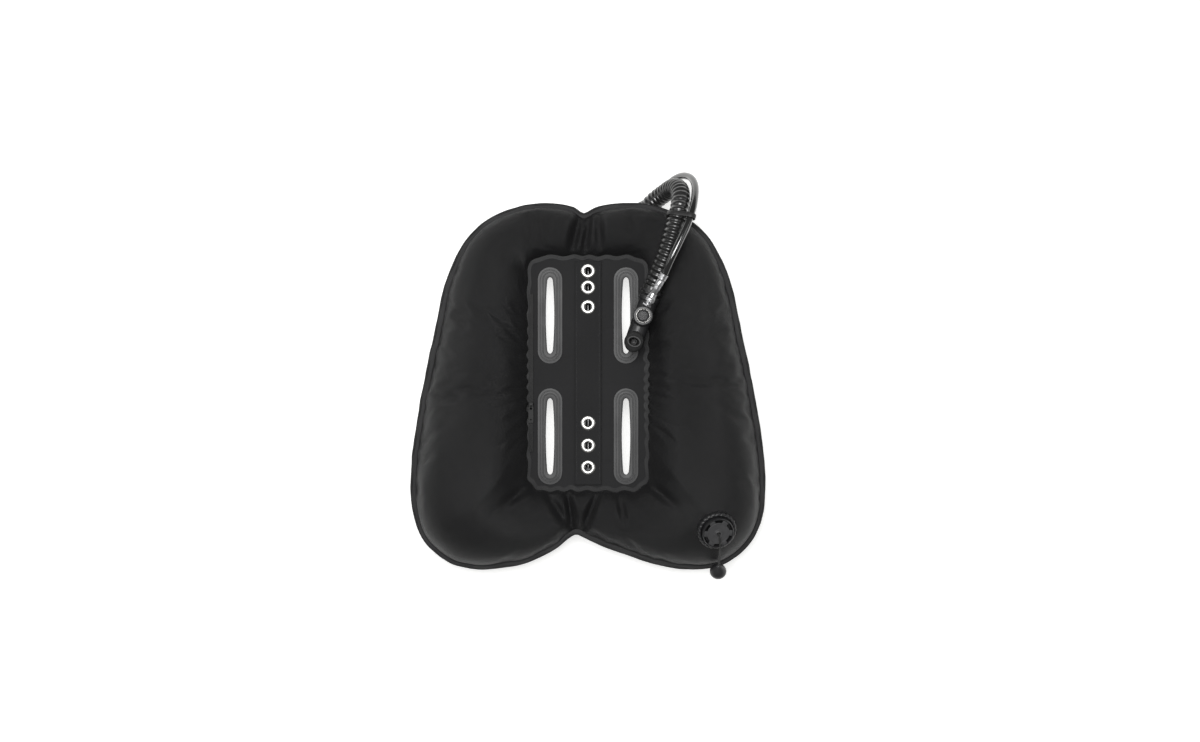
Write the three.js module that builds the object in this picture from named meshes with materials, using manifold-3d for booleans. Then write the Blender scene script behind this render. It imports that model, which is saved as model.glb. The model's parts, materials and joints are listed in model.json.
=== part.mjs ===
// Wing of a back-inflate buoyancy compensator: an inflated horseshoe-and-donut air cell that lies
// face up, with its dump valve, hose elbow, corrugated hose, inflator and low-pressure hose.
// Millimetres, +Z up, +Y towards the diver's head. The drawing origin is the middle of the centre
// panel, on the floor; the group is moved at the end so that the wing's own box is centred.
import * as THREE from "three";
import { ParametricGeometry } from "three/addons/geometries/ParametricGeometry.js";
import { mergeVertices } from "three/addons/utils/BufferGeometryUtils.js";
import Module from "manifold-3d";

const wasm = await Module();
wasm.setup();

// ---- Driving dimensions ----
const wingWidth = 506;
const wingHeight = 522;
const cellThickness = 128;
const fabric = 1.6; // laminated nylon shell
const film = 0.8; // bladder film
const gap = 0.3; // between pieces that lie on each other
const panelWidth = 172;
const panelHeight = 334;
const panelCorner = 24;
const panelThickness = 2.4;
const stripWidth = 38;
const stripThickness = 2;
const stripShort = 8; // the strip ends this far from each end of the panel
const slotWidth = 12;
const slotLength = 114;
const slotX = 54;
const upperSlotY = 82;
const lowerSlotY = -90;
const patchRim = 11.5; // width of the patch round its slot
const patchThickness = 0.9;
const grommetYs = [145.2, 122, 94, -71, -103, -134.2]; // the outer two 11 inches apart
const grommetOuter = 21;
const grommetBore = 10.4;
const valvePlace = new THREE.Vector2(180.6, -220.4);
const valveRing = 56;
const elbowPlace = new THREE.Vector2(60, 203);
const hoseDiameter = 27;
const hoseBore = 22;
const lpDiameter = 10.5;

const stations = 44; // round the wing
const seamHeight = cellThickness / 2;
const panelTop = seamHeight + panelThickness / 2;
const panelBottom = seamHeight - panelThickness / 2;
const stripTop = panelTop + gap + stripThickness;
const flangeIn = 5; // shell margin sewn on the panel
const flangeOut = 5; // shell margin in the piped seam
const bead = 4; // how far the piping stands out beyond the margins

// ---- Materials ----
const paint = (color, roughness, metalness = 0) =>
  new THREE.MeshStandardMaterial({ color, roughness, metalness });
const nylon = paint(0x1c1c1e, 0.75);
const binding = paint(0x121213, 0.7);
const panelCloth = paint(0x2a2a2c, 0.8);
const webbing = paint(0x242426, 0.85);
const coated = paint(0x48484a, 0.45);
const bladderFilm = paint(0x4a4d50, 0.4);
const nickel = paint(0xc9c9c6, 0.25, 1);
const chrome = paint(0xd8d8d8, 0.12, 1);
const greyPlastic = paint(0x4b4b4d, 0.5);
const blackPlastic = paint(0x141415, 0.45);
const rubber = paint(0x0f0f10, 0.7);
const hoseRubber = paint(0x111112, 0.5);
const springSteel = paint(0x9a9a98, 0.35, 1);
const silicone = paint(0x2c2c2e, 0.6);
const blackMetal = paint(0x1a1a1b, 0.4, 1);

// ---- Solids ----
// A closed geometry as a solid that faces outwards.
function solid(geometry) {
  const bare = geometry.clone();
  bare.deleteAttribute("normal");
  bare.deleteAttribute("uv");
  const merged = mergeVertices(bare, 1e-4);
  const vertProperties = merged.getAttribute("position").array;
  const triVerts = new Uint32Array(merged.index.array);
  const make = () => new wasm.Manifold(new wasm.Mesh({ numProp: 3, vertProperties, triVerts }));
  const made = make();
  if (made.volume() > 0) return made;
  for (let i = 0; i < triVerts.length; i += 3) {
    [triVerts[i + 1], triVerts[i + 2]] = [triVerts[i + 2], triVerts[i + 1]];
  }
  return make();
}

const join = (first, ...others) => others.reduce((sum, next) => sum.add(next), first);
const cut = (first, ...others) => others.reduce((rest, next) => rest.subtract(next), first);

function geometryOf(made) {
  const { numProp, vertProperties, triVerts } = made.getMesh();
  const xyz = new Float32Array((vertProperties.length / numProp) * 3);
  for (let i = 0; i < xyz.length / 3; i++) {
    xyz.set(vertProperties.subarray(i * numProp, i * numProp + 3), i * 3);
  }
  const geometry = new THREE.BufferGeometry();
  geometry.setAttribute("position", new THREE.BufferAttribute(xyz, 3));
  geometry.setIndex(new THREE.BufferAttribute(triVerts, 1));
  return geometry;
}

function piece(name, made, material) {
  const mesh = new THREE.Mesh(geometryOf(made), material);
  mesh.name = name;
  return mesh;
}

// An upright disc or ring from a radius-height profile, which starts and ends on the axis or is
// closed on itself here.
function turned(profile, segments = 16) {
  const points = profile.map(([r, z]) => new THREE.Vector2(r, z));
  if (profile[0][0] > 0) points.push(points[0].clone());
  return solid(new THREE.LatheGeometry(points, segments).rotateX(Math.PI / 2));
}

const ring = (inner, outer, low, high, segments = 16) =>
  turned([[inner, low], [outer, low], [outer, high], [inner, high]], segments);

function disc(radius, low, high, segments = 16) {
  const shape = new THREE.CylinderGeometry(radius, radius, high - low, segments);
  return solid(shape.rotateX(Math.PI / 2).translate(0, 0, (low + high) / 2));
}

function block(x0, x1, y0, y1, z0, z1) {
  const shape = new THREE.BoxGeometry(x1 - x0, y1 - y0, z1 - z0);
  return solid(shape.translate((x0 + x1) / 2, (y0 + y1) / 2, (z0 + z1) / 2));
}

// The upright solid `made` laid along +X.
const alongX = (made) => made.rotate([0, 90, 0]);

function plate(shape, low, high, curveSegments = 6) {
  const settings = { depth: high - low, bevelEnabled: false, curveSegments };
  return solid(new THREE.ExtrudeGeometry(shape, settings).translate(0, 0, low));
}

function roundedRect(x0, x1, y0, y1, r) {
  const shape = new THREE.Shape();
  shape.moveTo(x0 + r, y0).lineTo(x1 - r, y0).absarc(x1 - r, y0 + r, r, -Math.PI / 2, 0);
  shape.lineTo(x1, y1 - r).absarc(x1 - r, y1 - r, r, 0, Math.PI / 2);
  shape.lineTo(x0 + r, y1).absarc(x0 + r, y1 - r, r, Math.PI / 2, Math.PI);
  shape.lineTo(x0, y0 + r).absarc(x0 + r, y0 + r, r, Math.PI, 1.5 * Math.PI);
  return shape;
}

function circleShape(radius, sides) {
  const shape = new THREE.Shape();
  for (let i = 0; i < sides; i++) {
    const a = (i / sides) * 2 * Math.PI;
    shape[i ? "lineTo" : "moveTo"](radius * Math.cos(a), radius * Math.sin(a));
  }
  return shape;
}

// A hole that a round of this radius passes through, whatever its facets.
function roundHole(x, y, radius, sides = 14) {
  const points = circleShape(radius / Math.cos(Math.PI / sides), sides).getPoints();
  return new THREE.Path(points.map((p) => p.add(new THREE.Vector2(x, y))));
}

const route = (points) => new THREE.CatmullRomCurve3(points.map((p) => new THREE.Vector3(...p)));

// A tube along a route, hollow where a bore is given.
function tube(path, diameter, { sides = 8, steps = 40, bore = 0 } = {}) {
  const section = circleShape(diameter / 2, sides);
  if (bore) section.holes.push(circleShape(bore / 2, sides));
  return solid(new THREE.ExtrudeGeometry(section, { steps, extrudePath: path }));
}

function helix(radius, wire, low, high, turns, steps) {
  class Coil extends THREE.Curve {
    getPoint(t, target = new THREE.Vector3()) {
      const a = t * turns * 2 * Math.PI;
      return target.set(radius * Math.cos(a), radius * Math.sin(a), low + (high - low) * t);
    }
  }
  return tube(new Coil(), wire, { sides: 4, steps });
}

// ---- The air cell ----
// Right half of the wing's outline, from the top notch round to the bottom notch, as shares of
// half the width and half the height.
const halfOutline = [
  [0, 0.875], [0.075, 0.91], [0.28, 0.93], [0.46, 0.89], [0.6, 0.82], [0.71, 0.7],
  [0.8, 0.51], [0.86, 0.26], [0.95, -0.17], [0.995, -0.5], [0.99, -0.75], [0.93, -0.91],
  [0.8, -1.025], [0.65, -1.07], [0.38, -1.045], [0.16, -0.965], [0, -0.9],
];
const outlineCurve = new THREE.CatmullRomCurve3(
  [...halfOutline, ...halfOutline.slice(1, -1).reverse().map(([x, y]) => [-x, y])].map(
    ([x, y]) => new THREE.Vector3((x * wingWidth) / 2, (y * wingHeight) / 2, 0),
  ),
  true,
);
const rim = outlineCurve.getSpacedPoints(stations).slice(0, stations);
const seamInset = flangeOut + bead;
const cellRim = rim.map((p) => p.clone().setLength(p.length() - seamInset));

// Distance outside the rounded centre panel.
function beyondPanel(x, y) {
  const dx = Math.abs(x) - panelWidth / 2 + panelCorner;
  const dy = Math.abs(y) - panelHeight / 2 + panelCorner;
  return Math.hypot(Math.max(dx, 0), Math.max(dy, 0)) + Math.min(Math.max(dx, dy), 0) - panelCorner;
}

// Distance to the cell's outer seam.
function withinRim(x, y) {
  const p = new THREE.Vector3(x, y, 0);
  const nearest = new THREE.Vector3();
  return Math.min(
    ...cellRim.map((a, i) => {
      const side = new THREE.Line3(a, cellRim[(i + 1) % stations]);
      return side.closestPointToPoint(p, true, nearest).distanceTo(p);
    }),
  );
}

// Where the line from the middle to a rim point leaves the panel.
function panelEdge(outer) {
  let low = 0;
  let high = 1;
  for (let i = 0; i < 30; i++) {
    const middle = (low + high) / 2;
    if (beyondPanel(outer.x * middle, outer.y * middle) < 0) low = middle;
    else high = middle;
  }
  return outer.clone().multiplyScalar(high);
}
const panelRim = cellRim.map(panelEdge);

const across = (i, share) => panelRim[i].clone().lerp(cellRim[i], share);
const roundness = (p) => 2 * Math.sqrt(Math.max(beyondPanel(p.x, p.y), 0) * withinRim(p.x, p.y));
const fullest = Math.max(
  ...cellRim.flatMap((_, i) => [0.25, 0.5, 0.75].map((share) => roundness(across(i, share)))),
);
const wallBase = panelThickness / 2 + gap; // the shells' flanges lie on the panel
const rise = (seamHeight - wallBase - fabric) / fullest;
const bulge = (p) => rise * roundness(p);

// One point of the cell's wall: `turn` runs from 0 at the panel to pi at the rim, and `inset` is
// the depth inside the shell's outer face.
function wallPoint(i, turn, inset) {
  const share = (1 - Math.cos(turn)) / 2;
  const onFace = across(i, share);
  const outward = cellRim[i].clone().sub(panelRim[i]).normalize();
  const p = onFace.clone().addScaledVector(outward, inset * Math.cos(turn));
  p.z = bulge(onFace) - inset * Math.sin(turn);
  return p;
}

// A band swept once round the wing. `section(i)` gives the closed section at station i.
function sweptRound(section) {
  const loops = rim.map((_, i) => section(i));
  const count = loops[0].length;
  const at = (u, v, target) =>
    target.copy(loops[Math.round(u * stations) % stations][Math.round(v * count) % count]);
  return solid(new ParametricGeometry(at, stations, count));
}

const turns = (count, first, last) =>
  Array.from({ length: count }, (_, i) => first + ((last - first) * i) / (count - 1));

// The front shell with its two flat margins; the back shell is its mirror image.
function shell(side) {
  const facets = 7;
  return sweptRound((i) => {
    const inward = panelRim[i].clone().setLength(panelRim[i].length() - flangeIn);
    const outer = cellRim[i].clone().setLength(cellRim[i].length() + flangeOut);
    const level = (p, z) => new THREE.Vector3(p.x, p.y, seamHeight + side * (wallBase + z));
    const faces = turns(facets, 0, Math.PI);
    return [
      level(inward, 0),
      level(inward, fabric),
      ...faces.map((turn) => wallPoint(i, turn, 0)).map((p) => level(p, fabric + p.z)),
      level(outer, fabric),
      level(outer, 0),
      ...faces.reverse().map((turn) => wallPoint(i, turn, fabric)).map((p) => level(p, p.z)),
    ];
  });
}

// The bladder follows the inside of both shells.
function bladder() {
  const clear = fabric + 2.2;
  const facets = 5;
  const section = (inset) => (i) => {
    const upper = turns(facets, 0, Math.PI).map((turn) => wallPoint(i, turn, inset));
    const lower = upper.slice(1, -1).reverse().map((p) => new THREE.Vector3(p.x, p.y, -p.z));
    return [...upper, ...lower].map((p) => p.setZ(seamHeight + p.z));
  };
  return cut(sweptRound(section(clear)), sweptRound(section(clear + film)));
}

// Piping: a web between the shells' outer margins and a rounded bead outside them.
function piping() {
  return sweptRound((i) => {
    const outward = rim[i].clone().normalize();
    const at = (back, z) =>
      rim[i].clone().addScaledVector(outward, -back).setZ(seamHeight + z);
    const web = wallBase - gap;
    const root = bead + flangeOut - 1;
    const cover = wallBase + fabric + 0.4;
    return [
      at(root, -web), at(bead - gap, -web), at(bead - gap, -cover), at(bead / 3, -cover),
      at(0, 0),
      at(bead / 3, cover), at(bead - gap, cover), at(bead - gap, web), at(root, web),
    ];
  });
}

// ---- Centre panel ----
const slotPlaces = [
  ["ul", -slotX, upperSlotY],
  ["ur", slotX, upperSlotY],
  ["ll", -slotX, lowerSlotY],
  ["lr", slotX, lowerSlotY],
];
const grommetRadius = grommetOuter / 2;
const barrelRadius = grommetBore / 2 + 1;

function slotShape(x, y, margin) {
  const w = slotWidth / 2 + margin;
  const l = slotLength / 2 + margin;
  return roundedRect(x - w, x + w, y - l, y + l, w - 0.01);
}

function centrePanel() {
  const shape = new THREE.Shape(panelRim.map((p) => new THREE.Vector2(p.x, p.y)));
  slotPlaces.forEach(([, x, y]) => shape.holes.push(slotShape(x, y, 0)));
  grommetYs.forEach((y) => {
    shape.holes.push(roundHole(0, y, barrelRadius + gap));
  });
  return plate(shape, panelBottom, panelTop, 2);
}

function centreStrip() {
  const w = stripWidth / 2;
  const h = panelHeight / 2 - stripShort;
  const shape = roundedRect(-w, w, -h, h, 1);
  grommetYs.forEach((y) => {
    shape.holes.push(roundHole(0, y, grommetRadius + gap));
  });
  return plate(shape, panelTop + gap, stripTop, 6);
}

function slotPatch(x, y) {
  const shape = slotShape(x, y, patchRim);
  shape.holes.push(slotShape(x, y, 0.5));
  return plate(shape, panelTop + gap, panelTop + gap + patchThickness, 2);
}

// Flange and barrel in one, with the barrel's end below the washer.
function grommet() {
  const bore = grommetBore / 2;
  const low = panelTop + gap;
  const high = stripTop - 0.6;
  return turned([
    [bore, high - 0.5], [bore + 0.8, high], [grommetRadius - 0.8, high],
    [grommetRadius, high - 0.7], [grommetRadius, low], [barrelRadius, low],
    [barrelRadius, panelBottom - 1.8], [bore, panelBottom - 1.8],
  ], 12);
}

const grommetWasher = () =>
  ring(barrelRadius + gap, grommetRadius, panelBottom - 1.4, panelBottom - gap, 12);

// ---- Zip on the left inner seam ----
const zipX = -panelWidth / 2 + 5;
const zipLow = seamHeight + wallBase + fabric + gap;
const zipChainTop = zipLow + 1.6;
const zipHalf = 112;

const zipChain = () => block(zipX - 3, zipX + 3, -zipHalf, zipHalf, zipLow, zipChainTop);

const zipSliderY = -47;
function zipSlider() {
  const y = zipSliderY;
  const body = block(zipX - 4, zipX + 4, y - 6, y + 6, zipChainTop + gap, zipChainTop + 2);
  const bridge = block(zipX - 1.2, zipX + 1.2, y - 4, y + 1.5, zipChainTop + 1.9, zipChainTop + 5);
  const eye = block(zipX - 2, zipX + 2, y - 2.4, y, zipChainTop + 2, zipChainTop + 4);
  return cut(join(body, bridge), eye);
}

const zipPin = new THREE.Vector3(zipX, zipSliderY - 1.4, zipChainTop + 3.2);
function zipPull() {
  const { y, z } = zipPin;
  const tab = block(zipX - 3.5, zipX + 3.5, y - 22, y - 3.7, z - 0.6, z + 0.6);
  const hole = disc(1.6, z - 2, z + 2, 12).translate([zipX, y - 18, 0]);
  const arms = block(zipX - 3.5, zipX + 3.5, y - 4.8, y + 0.6, z - 0.6, z + 0.6);
  const fork = block(zipX - 1.7, zipX + 1.7, y - 3.6, y + 3, z - 1, z + 1);
  const pin = block(zipX - 3, zipX + 3, y - 0.5, y + 0.6, z - 0.5, z + 0.5);
  return join(cut(join(tab, arms), hole, fork), pin);
}

// ---- Dump valve, drawn upright round its own axis ----
const valveRadius = valveRing / 2;
const valveSink = 4.5; // how far the round base sits in the curved shell
const capRadius = 22.4;

function valveFrame() {
  const height = (x, y) => seamHeight + wallBase + fabric + bulge({ x, y });
  const { x, y } = valvePlace;
  const step = 2;
  const slopeX = (height(x + step, y) - height(x - step, y)) / (2 * step);
  const slopeY = (height(x, y + step) - height(x, y - step)) / (2 * step);
  const axis = new THREE.Vector3(-slopeX, -slopeY, 1).normalize();
  const frame = new THREE.Group();
  frame.position.set(x, y, height(x, y)).addScaledVector(axis, -valveSink);
  frame.quaternion.setFromUnitVectors(new THREE.Vector3(0, 0, 1), axis);
  frame.updateMatrixWorld(true);
  return frame;
}
const valve = valveFrame();

const dumpBase = () =>
  turned([
    [14, -10], [20, -10], [20, -4], [27.4, -4], [27.4, -1.8], [19.5, -1.8], [19.5, 9],
    [16.8, 9], [16.8, -6], [14, -6],
  ]);

function dumpRing() {
  const teeth = 24;
  const shape = new THREE.Shape();
  for (let i = 0; i < teeth; i++) {
    [[0, -1.2], [0.3, 0], [0.7, 0]].forEach(([share, depth]) => {
      const a = ((i + share) / teeth) * 2 * Math.PI;
      const r = valveRadius + depth;
      shape[i + share ? "lineTo" : "moveTo"](r * Math.cos(a), r * Math.sin(a));
    });
  }
  shape.holes.push(circleShape(capRadius + 0.5, 24));
  return plate(shape, -1.5, 7.5);
}

function dumpCap() {
  const top = turned([
    [2.6, 12], [19.9, 12], [19.9, 0.5], [capRadius, 0.5], [capRadius, 12.5], [20.5, 14.5],
    [5, 14.5], [5, 16.5], [2.6, 16.5],
  ]);
  const windows = Array.from({ length: 6 }, (_, i) =>
    block(17, 19.6, -4.5, 4.5, 10, 16).rotate([0, 0, i * 60 + 30]),
  );
  return cut(top, ...windows);
}

const dumpGasket = () => ring(20.4, 27.4, -5.4, -4.3);
const dumpSeal = () => ring(13.6, 16.2, -5.7, -4.6);
const dumpPoppet = () => join(disc(15.8, -4.3, -2.6), disc(2, -2.7, 9, 12));
const dumpSpring = () => helix(7, 1.3, -1.8, 11, 4, 44);

// ---- Hose elbow under the top lobe, drawn with its outlet along +X ----
const elbowAxisZ = 22;
const elbowHeading = Math.atan2(0.8, 0.6);
const elbowFlange = 18;
const barbRadius = 8.8;

function elbowBody() {
  const outside = join(
    disc(11.5, elbowAxisZ, 43), disc(elbowFlange, 38, 40.5),
    solid(new THREE.SphereGeometry(12.5, 16, 10).translate(0, 0, elbowAxisZ)),
    alongX(disc(11.5, 0, 15)).translate([0, 0, elbowAxisZ]),
    alongX(disc(barbRadius, 14, 31)).translate([0, 0, elbowAxisZ]),
  );
  const bore = 7.5;
  return cut(
    outside, disc(bore, elbowAxisZ, 45, 12),
    alongX(disc(bore, 0, 33, 12)).translate([0, 0, elbowAxisZ]),
    solid(new THREE.SphereGeometry(bore, 12, 8).translate(0, 0, elbowAxisZ)),
  );
}
const elbowNut = () => ring(11.9, 15.5, 34.2, 36.6, 12);
const elbowGasket = () => ring(11.9, elbowFlange, 36.9, 37.7);
const elbowTie = () => alongX(ring(14, 15.3, 21, 27)).translate([0, 0, elbowAxisZ]);

// ---- Inflator, drawn round the middle of its head with the hose along +X ----
const inflatorPlace = new THREE.Vector3(77, 80, 106);
const inflatorHeading = Math.atan2(0.944, 0.33);
const mouthX = -38;
const nippleHeight = 18.5;
const nippleOffset = 2.5;
const nippleTurn = -0.176;
const nippleTilt = -0.21;

// Round about the quick disconnect's axis, which leaves the head along its own +X.
function onNippleAxis(made) {
  const degrees = 180 / Math.PI;
  return alongX(made)
    .rotate([0, nippleTilt * degrees, 0])
    .rotate([0, 0, nippleTurn * degrees])
    .translate([0, nippleOffset, nippleHeight]);
}

function inflatorBody() {
  const outside = join(
    alongX(disc(13, mouthX, 30)), disc(14, 2, 27.5), alongX(disc(14.5, 22, 30)),
    disc(13.5, -15, 13).translate([mouthX, 0, 0]), alongX(disc(barbRadius, 29, 42)),
    onNippleAxis(disc(5.5, 8, 15.5, 12)),
  );
  return cut(
    outside, alongX(disc(7.5, mouthX, 50, 16)), disc(8.2, 17, 30), disc(4, 5, 18, 16),
    disc(9, -16, -1).translate([mouthX, 0, 0]), disc(7, -2, 14).translate([mouthX, 0, 0]),
    onNippleAxis(disc(2, 4, 17, 12)),
  );
}
const inflateButton = () =>
  join(
    turned([[0, 20], [7.4, 20], [7.4, 29.4], [6.6, 30.2], [0, 30.2]]),
    disc(1.5, 14, 20.1, 12),
  );
const buttonBezel = () => ring(8.2, 10.5, 27.8, 29.4);
const inflateSpring = () => helix(2.9, 0.8, 11.9, 19.2, 4, 32);
const valveCore = () => disc(3.6, 7.9, 11.2, 12);
const deflateButton = () =>
  join(disc(8.5, -19, -12.4), disc(2, -12.5, -8, 12)).translate([mouthX, 0, 0]);
const deflateSeal = () => ring(2.4, 8.5, -12.1, -10.9).translate([mouthX, 0, 0]);
const deflateSpring = () => helix(8, 0.9, -10.1, -1.8, 3, 30).translate([mouthX, 0, 0]);
const inflatorTie = () => alongX(ring(14.2, 15.5, 34, 38));

function mouthpiece() {
  const shape = new THREE.Shape().absellipse(0, 0, 15, 13, 0, 2 * Math.PI);
  shape.holes.push(new THREE.Path().absellipse(0, 0, 4, 6.4, 0, 2 * Math.PI, true));
  const bit = plate(shape, 14, 24, 12);
  return join(bit, ring(4, 6.6, 8, 14.2)).translate([mouthX, 0, 0]);
}

const qdNipple = () => onNippleAxis(join(disc(6, 15.8, 18.4, 6), disc(3.2, 18.3, 30, 16)));
const qdBody = () =>
  onNippleAxis(turned([
    [0, 34], [3.6, 34], [3.6, 20], [4.8, 20], [4.8, 42], [5.6, 44], [5.6, 56], [4.6, 57.6],
    [0, 57.6],
  ], 16));
const qdCollar = () =>
  onNippleAxis(turned([
    [5.2, 22], [6, 22], [6.8, 23], [6.8, 29], [5.8, 30.5], [5.8, 36], [5.2, 36],
  ], 20));
const qdFerrule = () => onNippleAxis(ring(5.7, 6.5, 58.2, 67, 16));

// ---- Hoses and the pull cord, by hand ----
const corrugatedRoute = route([
  [70.2, 216.6, 22], [81, 231, 23], [93, 245, 31], [108, 256, 46], [121, 263, 68],
  [129, 258, 92], [130, 240, 114], [123, 210, 126], [112, 172, 125], [99, 140, 115],
  [92.8, 125.3, 107.2], [87.9, 111.2, 106],
]);
const lpRoute = route([
  [102.7, 130.6, 136.7], [107.3, 138.7, 138.8], [115.5, 158, 145], [127, 182, 146],
  [138, 206, 142], [146, 229, 133], [150, 249, 116], [150.5, 265, 98], [146, 276, 80],
  [136, 281, 60], [124, 278, 40], [112, 269, 22], [98, 257, 11], [82, 246, 7],
  [62, 235, 5.6], [36, 218, 5.6], [12, 195, 5.6], [1, 165, 5.6], [0, 135, 5.6], [0, 0, 5.6],
  [0, -113, 7], [0, -130, 9.5], [0, -140, 9.6], [0, -150, 9.6],
]);
const pullRoute = route([
  [181.24, -222.34, 125.06], [182.26, -225.45, 132.36], [183.1, -228.3, 136.8],
  [183.7, -234, 139], [184.2, -242, 135.5], [184.4, -252, 124], [184.3, -262, 109.5],
  [184.1, -270.5, 97.5],
]);
const corrugatedHose = () =>
  tube(corrugatedRoute, hoseDiameter, { sides: 10, steps: 22, bore: hoseBore });
const lpHose = () => tube(lpRoute, lpDiameter, { sides: 8, steps: 48 });
const dumpCord = () => tube(pullRoute, 3, { sides: 6, steps: 16 });

// A teardrop whose tip meets the cord.
function dumpKnob() {
  const tip = pullRoute.getPointAt(1);
  const heading = pullRoute.getTangentAt(1);
  const drop = turned([
    [0, 0.4], [3, 0.6], [3.4, 3], [7, 7], [10.6, 11.5], [11.8, 15.5], [10.8, 20], [7, 23.8],
    [0, 25.4],
  ], 18);
  const frame = new THREE.Matrix4().makeRotationFromQuaternion(
    new THREE.Quaternion().setFromUnitVectors(new THREE.Vector3(0, 0, 1), heading),
  );
  return drop.transform(frame.setPosition(tip).toArray());
}

// The band that ties the two hoses together where they cross the lobe.
const clipPlace = new THREE.Vector3(126, 219, 124);
function hoseClip() {
  const hoseMiddle = nearest(corrugatedRoute, clipPlace);
  const lpMiddle = nearest(lpRoute, clipPlace.clone().add(new THREE.Vector3(16, 0, 13)));
  const along = hoseMiddle.tangent;
  const side = lpMiddle.point.clone().sub(hoseMiddle.point);
  const apart = side.length();
  side.addScaledVector(along, -side.dot(along)).normalize();
  const frame = new THREE.Matrix4().makeBasis(side, along.clone().cross(side), along);
  const clear = 0.8;
  const wall = 1.4;
  const half = 4;
  const loop = (radius, at, grow) =>
    disc(radius + clear + grow, -half - 1 + grow / wall, half + 1 - grow / wall, 24)
      .translate([at, 0, 0]);
  const band = join(
    loop(hoseDiameter / 2, 0, wall), loop(lpDiameter / 2, apart, wall),
  );
  const clip = cut(band, loop(hoseDiameter / 2, 0, 0), loop(lpDiameter / 2, apart, 0));
  return clip.transform(frame.setPosition(hoseMiddle.point).toArray());
}

// The point of a route nearest to a target, with its direction.
function nearest(curve, target) {
  const samples = Array.from({ length: 201 }, (_, i) => i / 200);
  const away = (t) => curve.getPointAt(t).distanceTo(target);
  const t = samples.reduce((best, next) => (away(next) < away(best) ? next : best));
  return { point: curve.getPointAt(t), tangent: curve.getTangentAt(t) };
}

// ---- First-stage end of the low-pressure hose, drawn along +X from the hose's end ----
const lpFerrule = () => alongX(ring(5.9, 7.6, -14, 0.2, 16));
function lpFitting() {
  const outside = join(disc(9.2, 0.6, 9, 6), disc(5.2, 8.9, 13, 16), disc(5.55, 12.9, 22, 16));
  return alongX(cut(outside, disc(2.5, 0, 23, 12)));
}
const lpOring = () => alongX(ring(5.5, 7.3, 9.4, 11.6, 16));

// ---- Assembly ----
const wing = new THREE.Group();

const dumpPort = disc(valveRadius + 0.6, -40, 30).transform(valve.matrix.toArray());
const elbowPort = disc(elbowFlange + 0.6, 0, 60).translate([elbowPlace.x, elbowPlace.y, 0]);
wing.add(
  piece("shell_front", cut(shell(1), dumpPort), nylon),
  piece("shell_back", cut(shell(-1), elbowPort), nylon),
  piece("bladder", cut(bladder(), dumpPort, elbowPort), bladderFilm),
  piece("edge_piping", piping(), binding),
  piece("centre_panel", centrePanel(), panelCloth),
  piece("centre_strip", centreStrip(), webbing),
  piece("zip_chain", zipChain(), blackPlastic),
  piece("zip_slider", zipSlider(), blackMetal),
  piece("zip_pull", zipPull(), blackMetal),
);
slotPlaces.forEach(([corner, x, y]) => {
  wing.add(piece(`slot_patch_${corner}`, slotPatch(x, y), coated));
});
grommetYs.forEach((y, i) => {
  const top = piece(`grommet_${i + 1}`, grommet(), nickel);
  const under = piece(`grommet_washer_${i + 1}`, grommetWasher(), nickel);
  top.position.y = y;
  under.position.y = y;
  wing.add(top, under);
});

valve.add(
  piece("dump_base", dumpBase(), blackPlastic),
  piece("dump_gasket", dumpGasket(), rubber),
  piece("dump_ring", dumpRing(), blackPlastic),
  piece("dump_cap", dumpCap(), greyPlastic),
  piece("dump_poppet", dumpPoppet(), blackPlastic),
  piece("dump_seal", dumpSeal(), silicone),
  piece("dump_spring", dumpSpring(), springSteel),
);

const elbow = new THREE.Group();
elbow.position.set(elbowPlace.x, elbowPlace.y, 0);
elbow.rotation.z = elbowHeading;
elbow.add(
  piece("elbow_body", elbowBody(), blackPlastic),
  piece("elbow_nut", elbowNut(), blackPlastic),
  piece("elbow_gasket", elbowGasket(), rubber),
  piece("elbow_tie", elbowTie(), blackPlastic),
);

const inflator = new THREE.Group();
inflator.position.copy(inflatorPlace);
inflator.rotation.z = inflatorHeading;
inflator.add(
  piece("inflator_body", inflatorBody(), blackPlastic),
  piece("inflate_button", inflateButton(), greyPlastic),
  piece("button_bezel", buttonBezel(), nickel),
  piece("inflate_spring", inflateSpring(), springSteel),
  piece("valve_core", valveCore(), nickel),
  piece("deflate_button", deflateButton(), greyPlastic),
  piece("deflate_seal", deflateSeal(), silicone),
  piece("deflate_spring", deflateSpring(), springSteel),
  piece("inflator_tie", inflatorTie(), blackPlastic),
  piece("mouthpiece", mouthpiece(), rubber),
  piece("qd_nipple", qdNipple(), chrome),
  piece("qd_body", qdBody(), chrome),
  piece("qd_collar", qdCollar(), chrome),
  piece("qd_ferrule", qdFerrule(), chrome),
);

const fitting = new THREE.Group();
fitting.position.copy(lpRoute.getPointAt(1)).y -= gap;
fitting.rotation.z = -Math.PI / 2;
fitting.add(
  piece("lp_ferrule", lpFerrule(), chrome),
  piece("lp_fitting", lpFitting(), chrome),
  piece("lp_oring", lpOring(), rubber),
);

wing.add(
  valve, elbow, inflator, fitting,
  piece("corrugated_hose", corrugatedHose(), hoseRubber),
  piece("lp_hose", lpHose(), hoseRubber),
  piece("dump_cord", dumpCord(), webbing),
  piece("dump_knob", dumpKnob(), blackPlastic),
  piece("hose_clip", hoseClip(), rubber),
);

// The row's origin is under the middle of the box of everything but the free cords.
const freeCords = [
  "lp_hose", "lp_ferrule", "lp_fitting", "lp_oring", "corrugated_hose", "dump_cord",
];
wing.updateMatrixWorld(true);
const box = new THREE.Box3();
wing.traverse((mesh) => {
  if (mesh.isMesh && !freeCords.includes(mesh.name)) box.expandByObject(mesh, true);
});
const middle = box.getCenter(new THREE.Vector3());
wing.position.set(-middle.x, -middle.y, -box.min.z);

export default wing;
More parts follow.
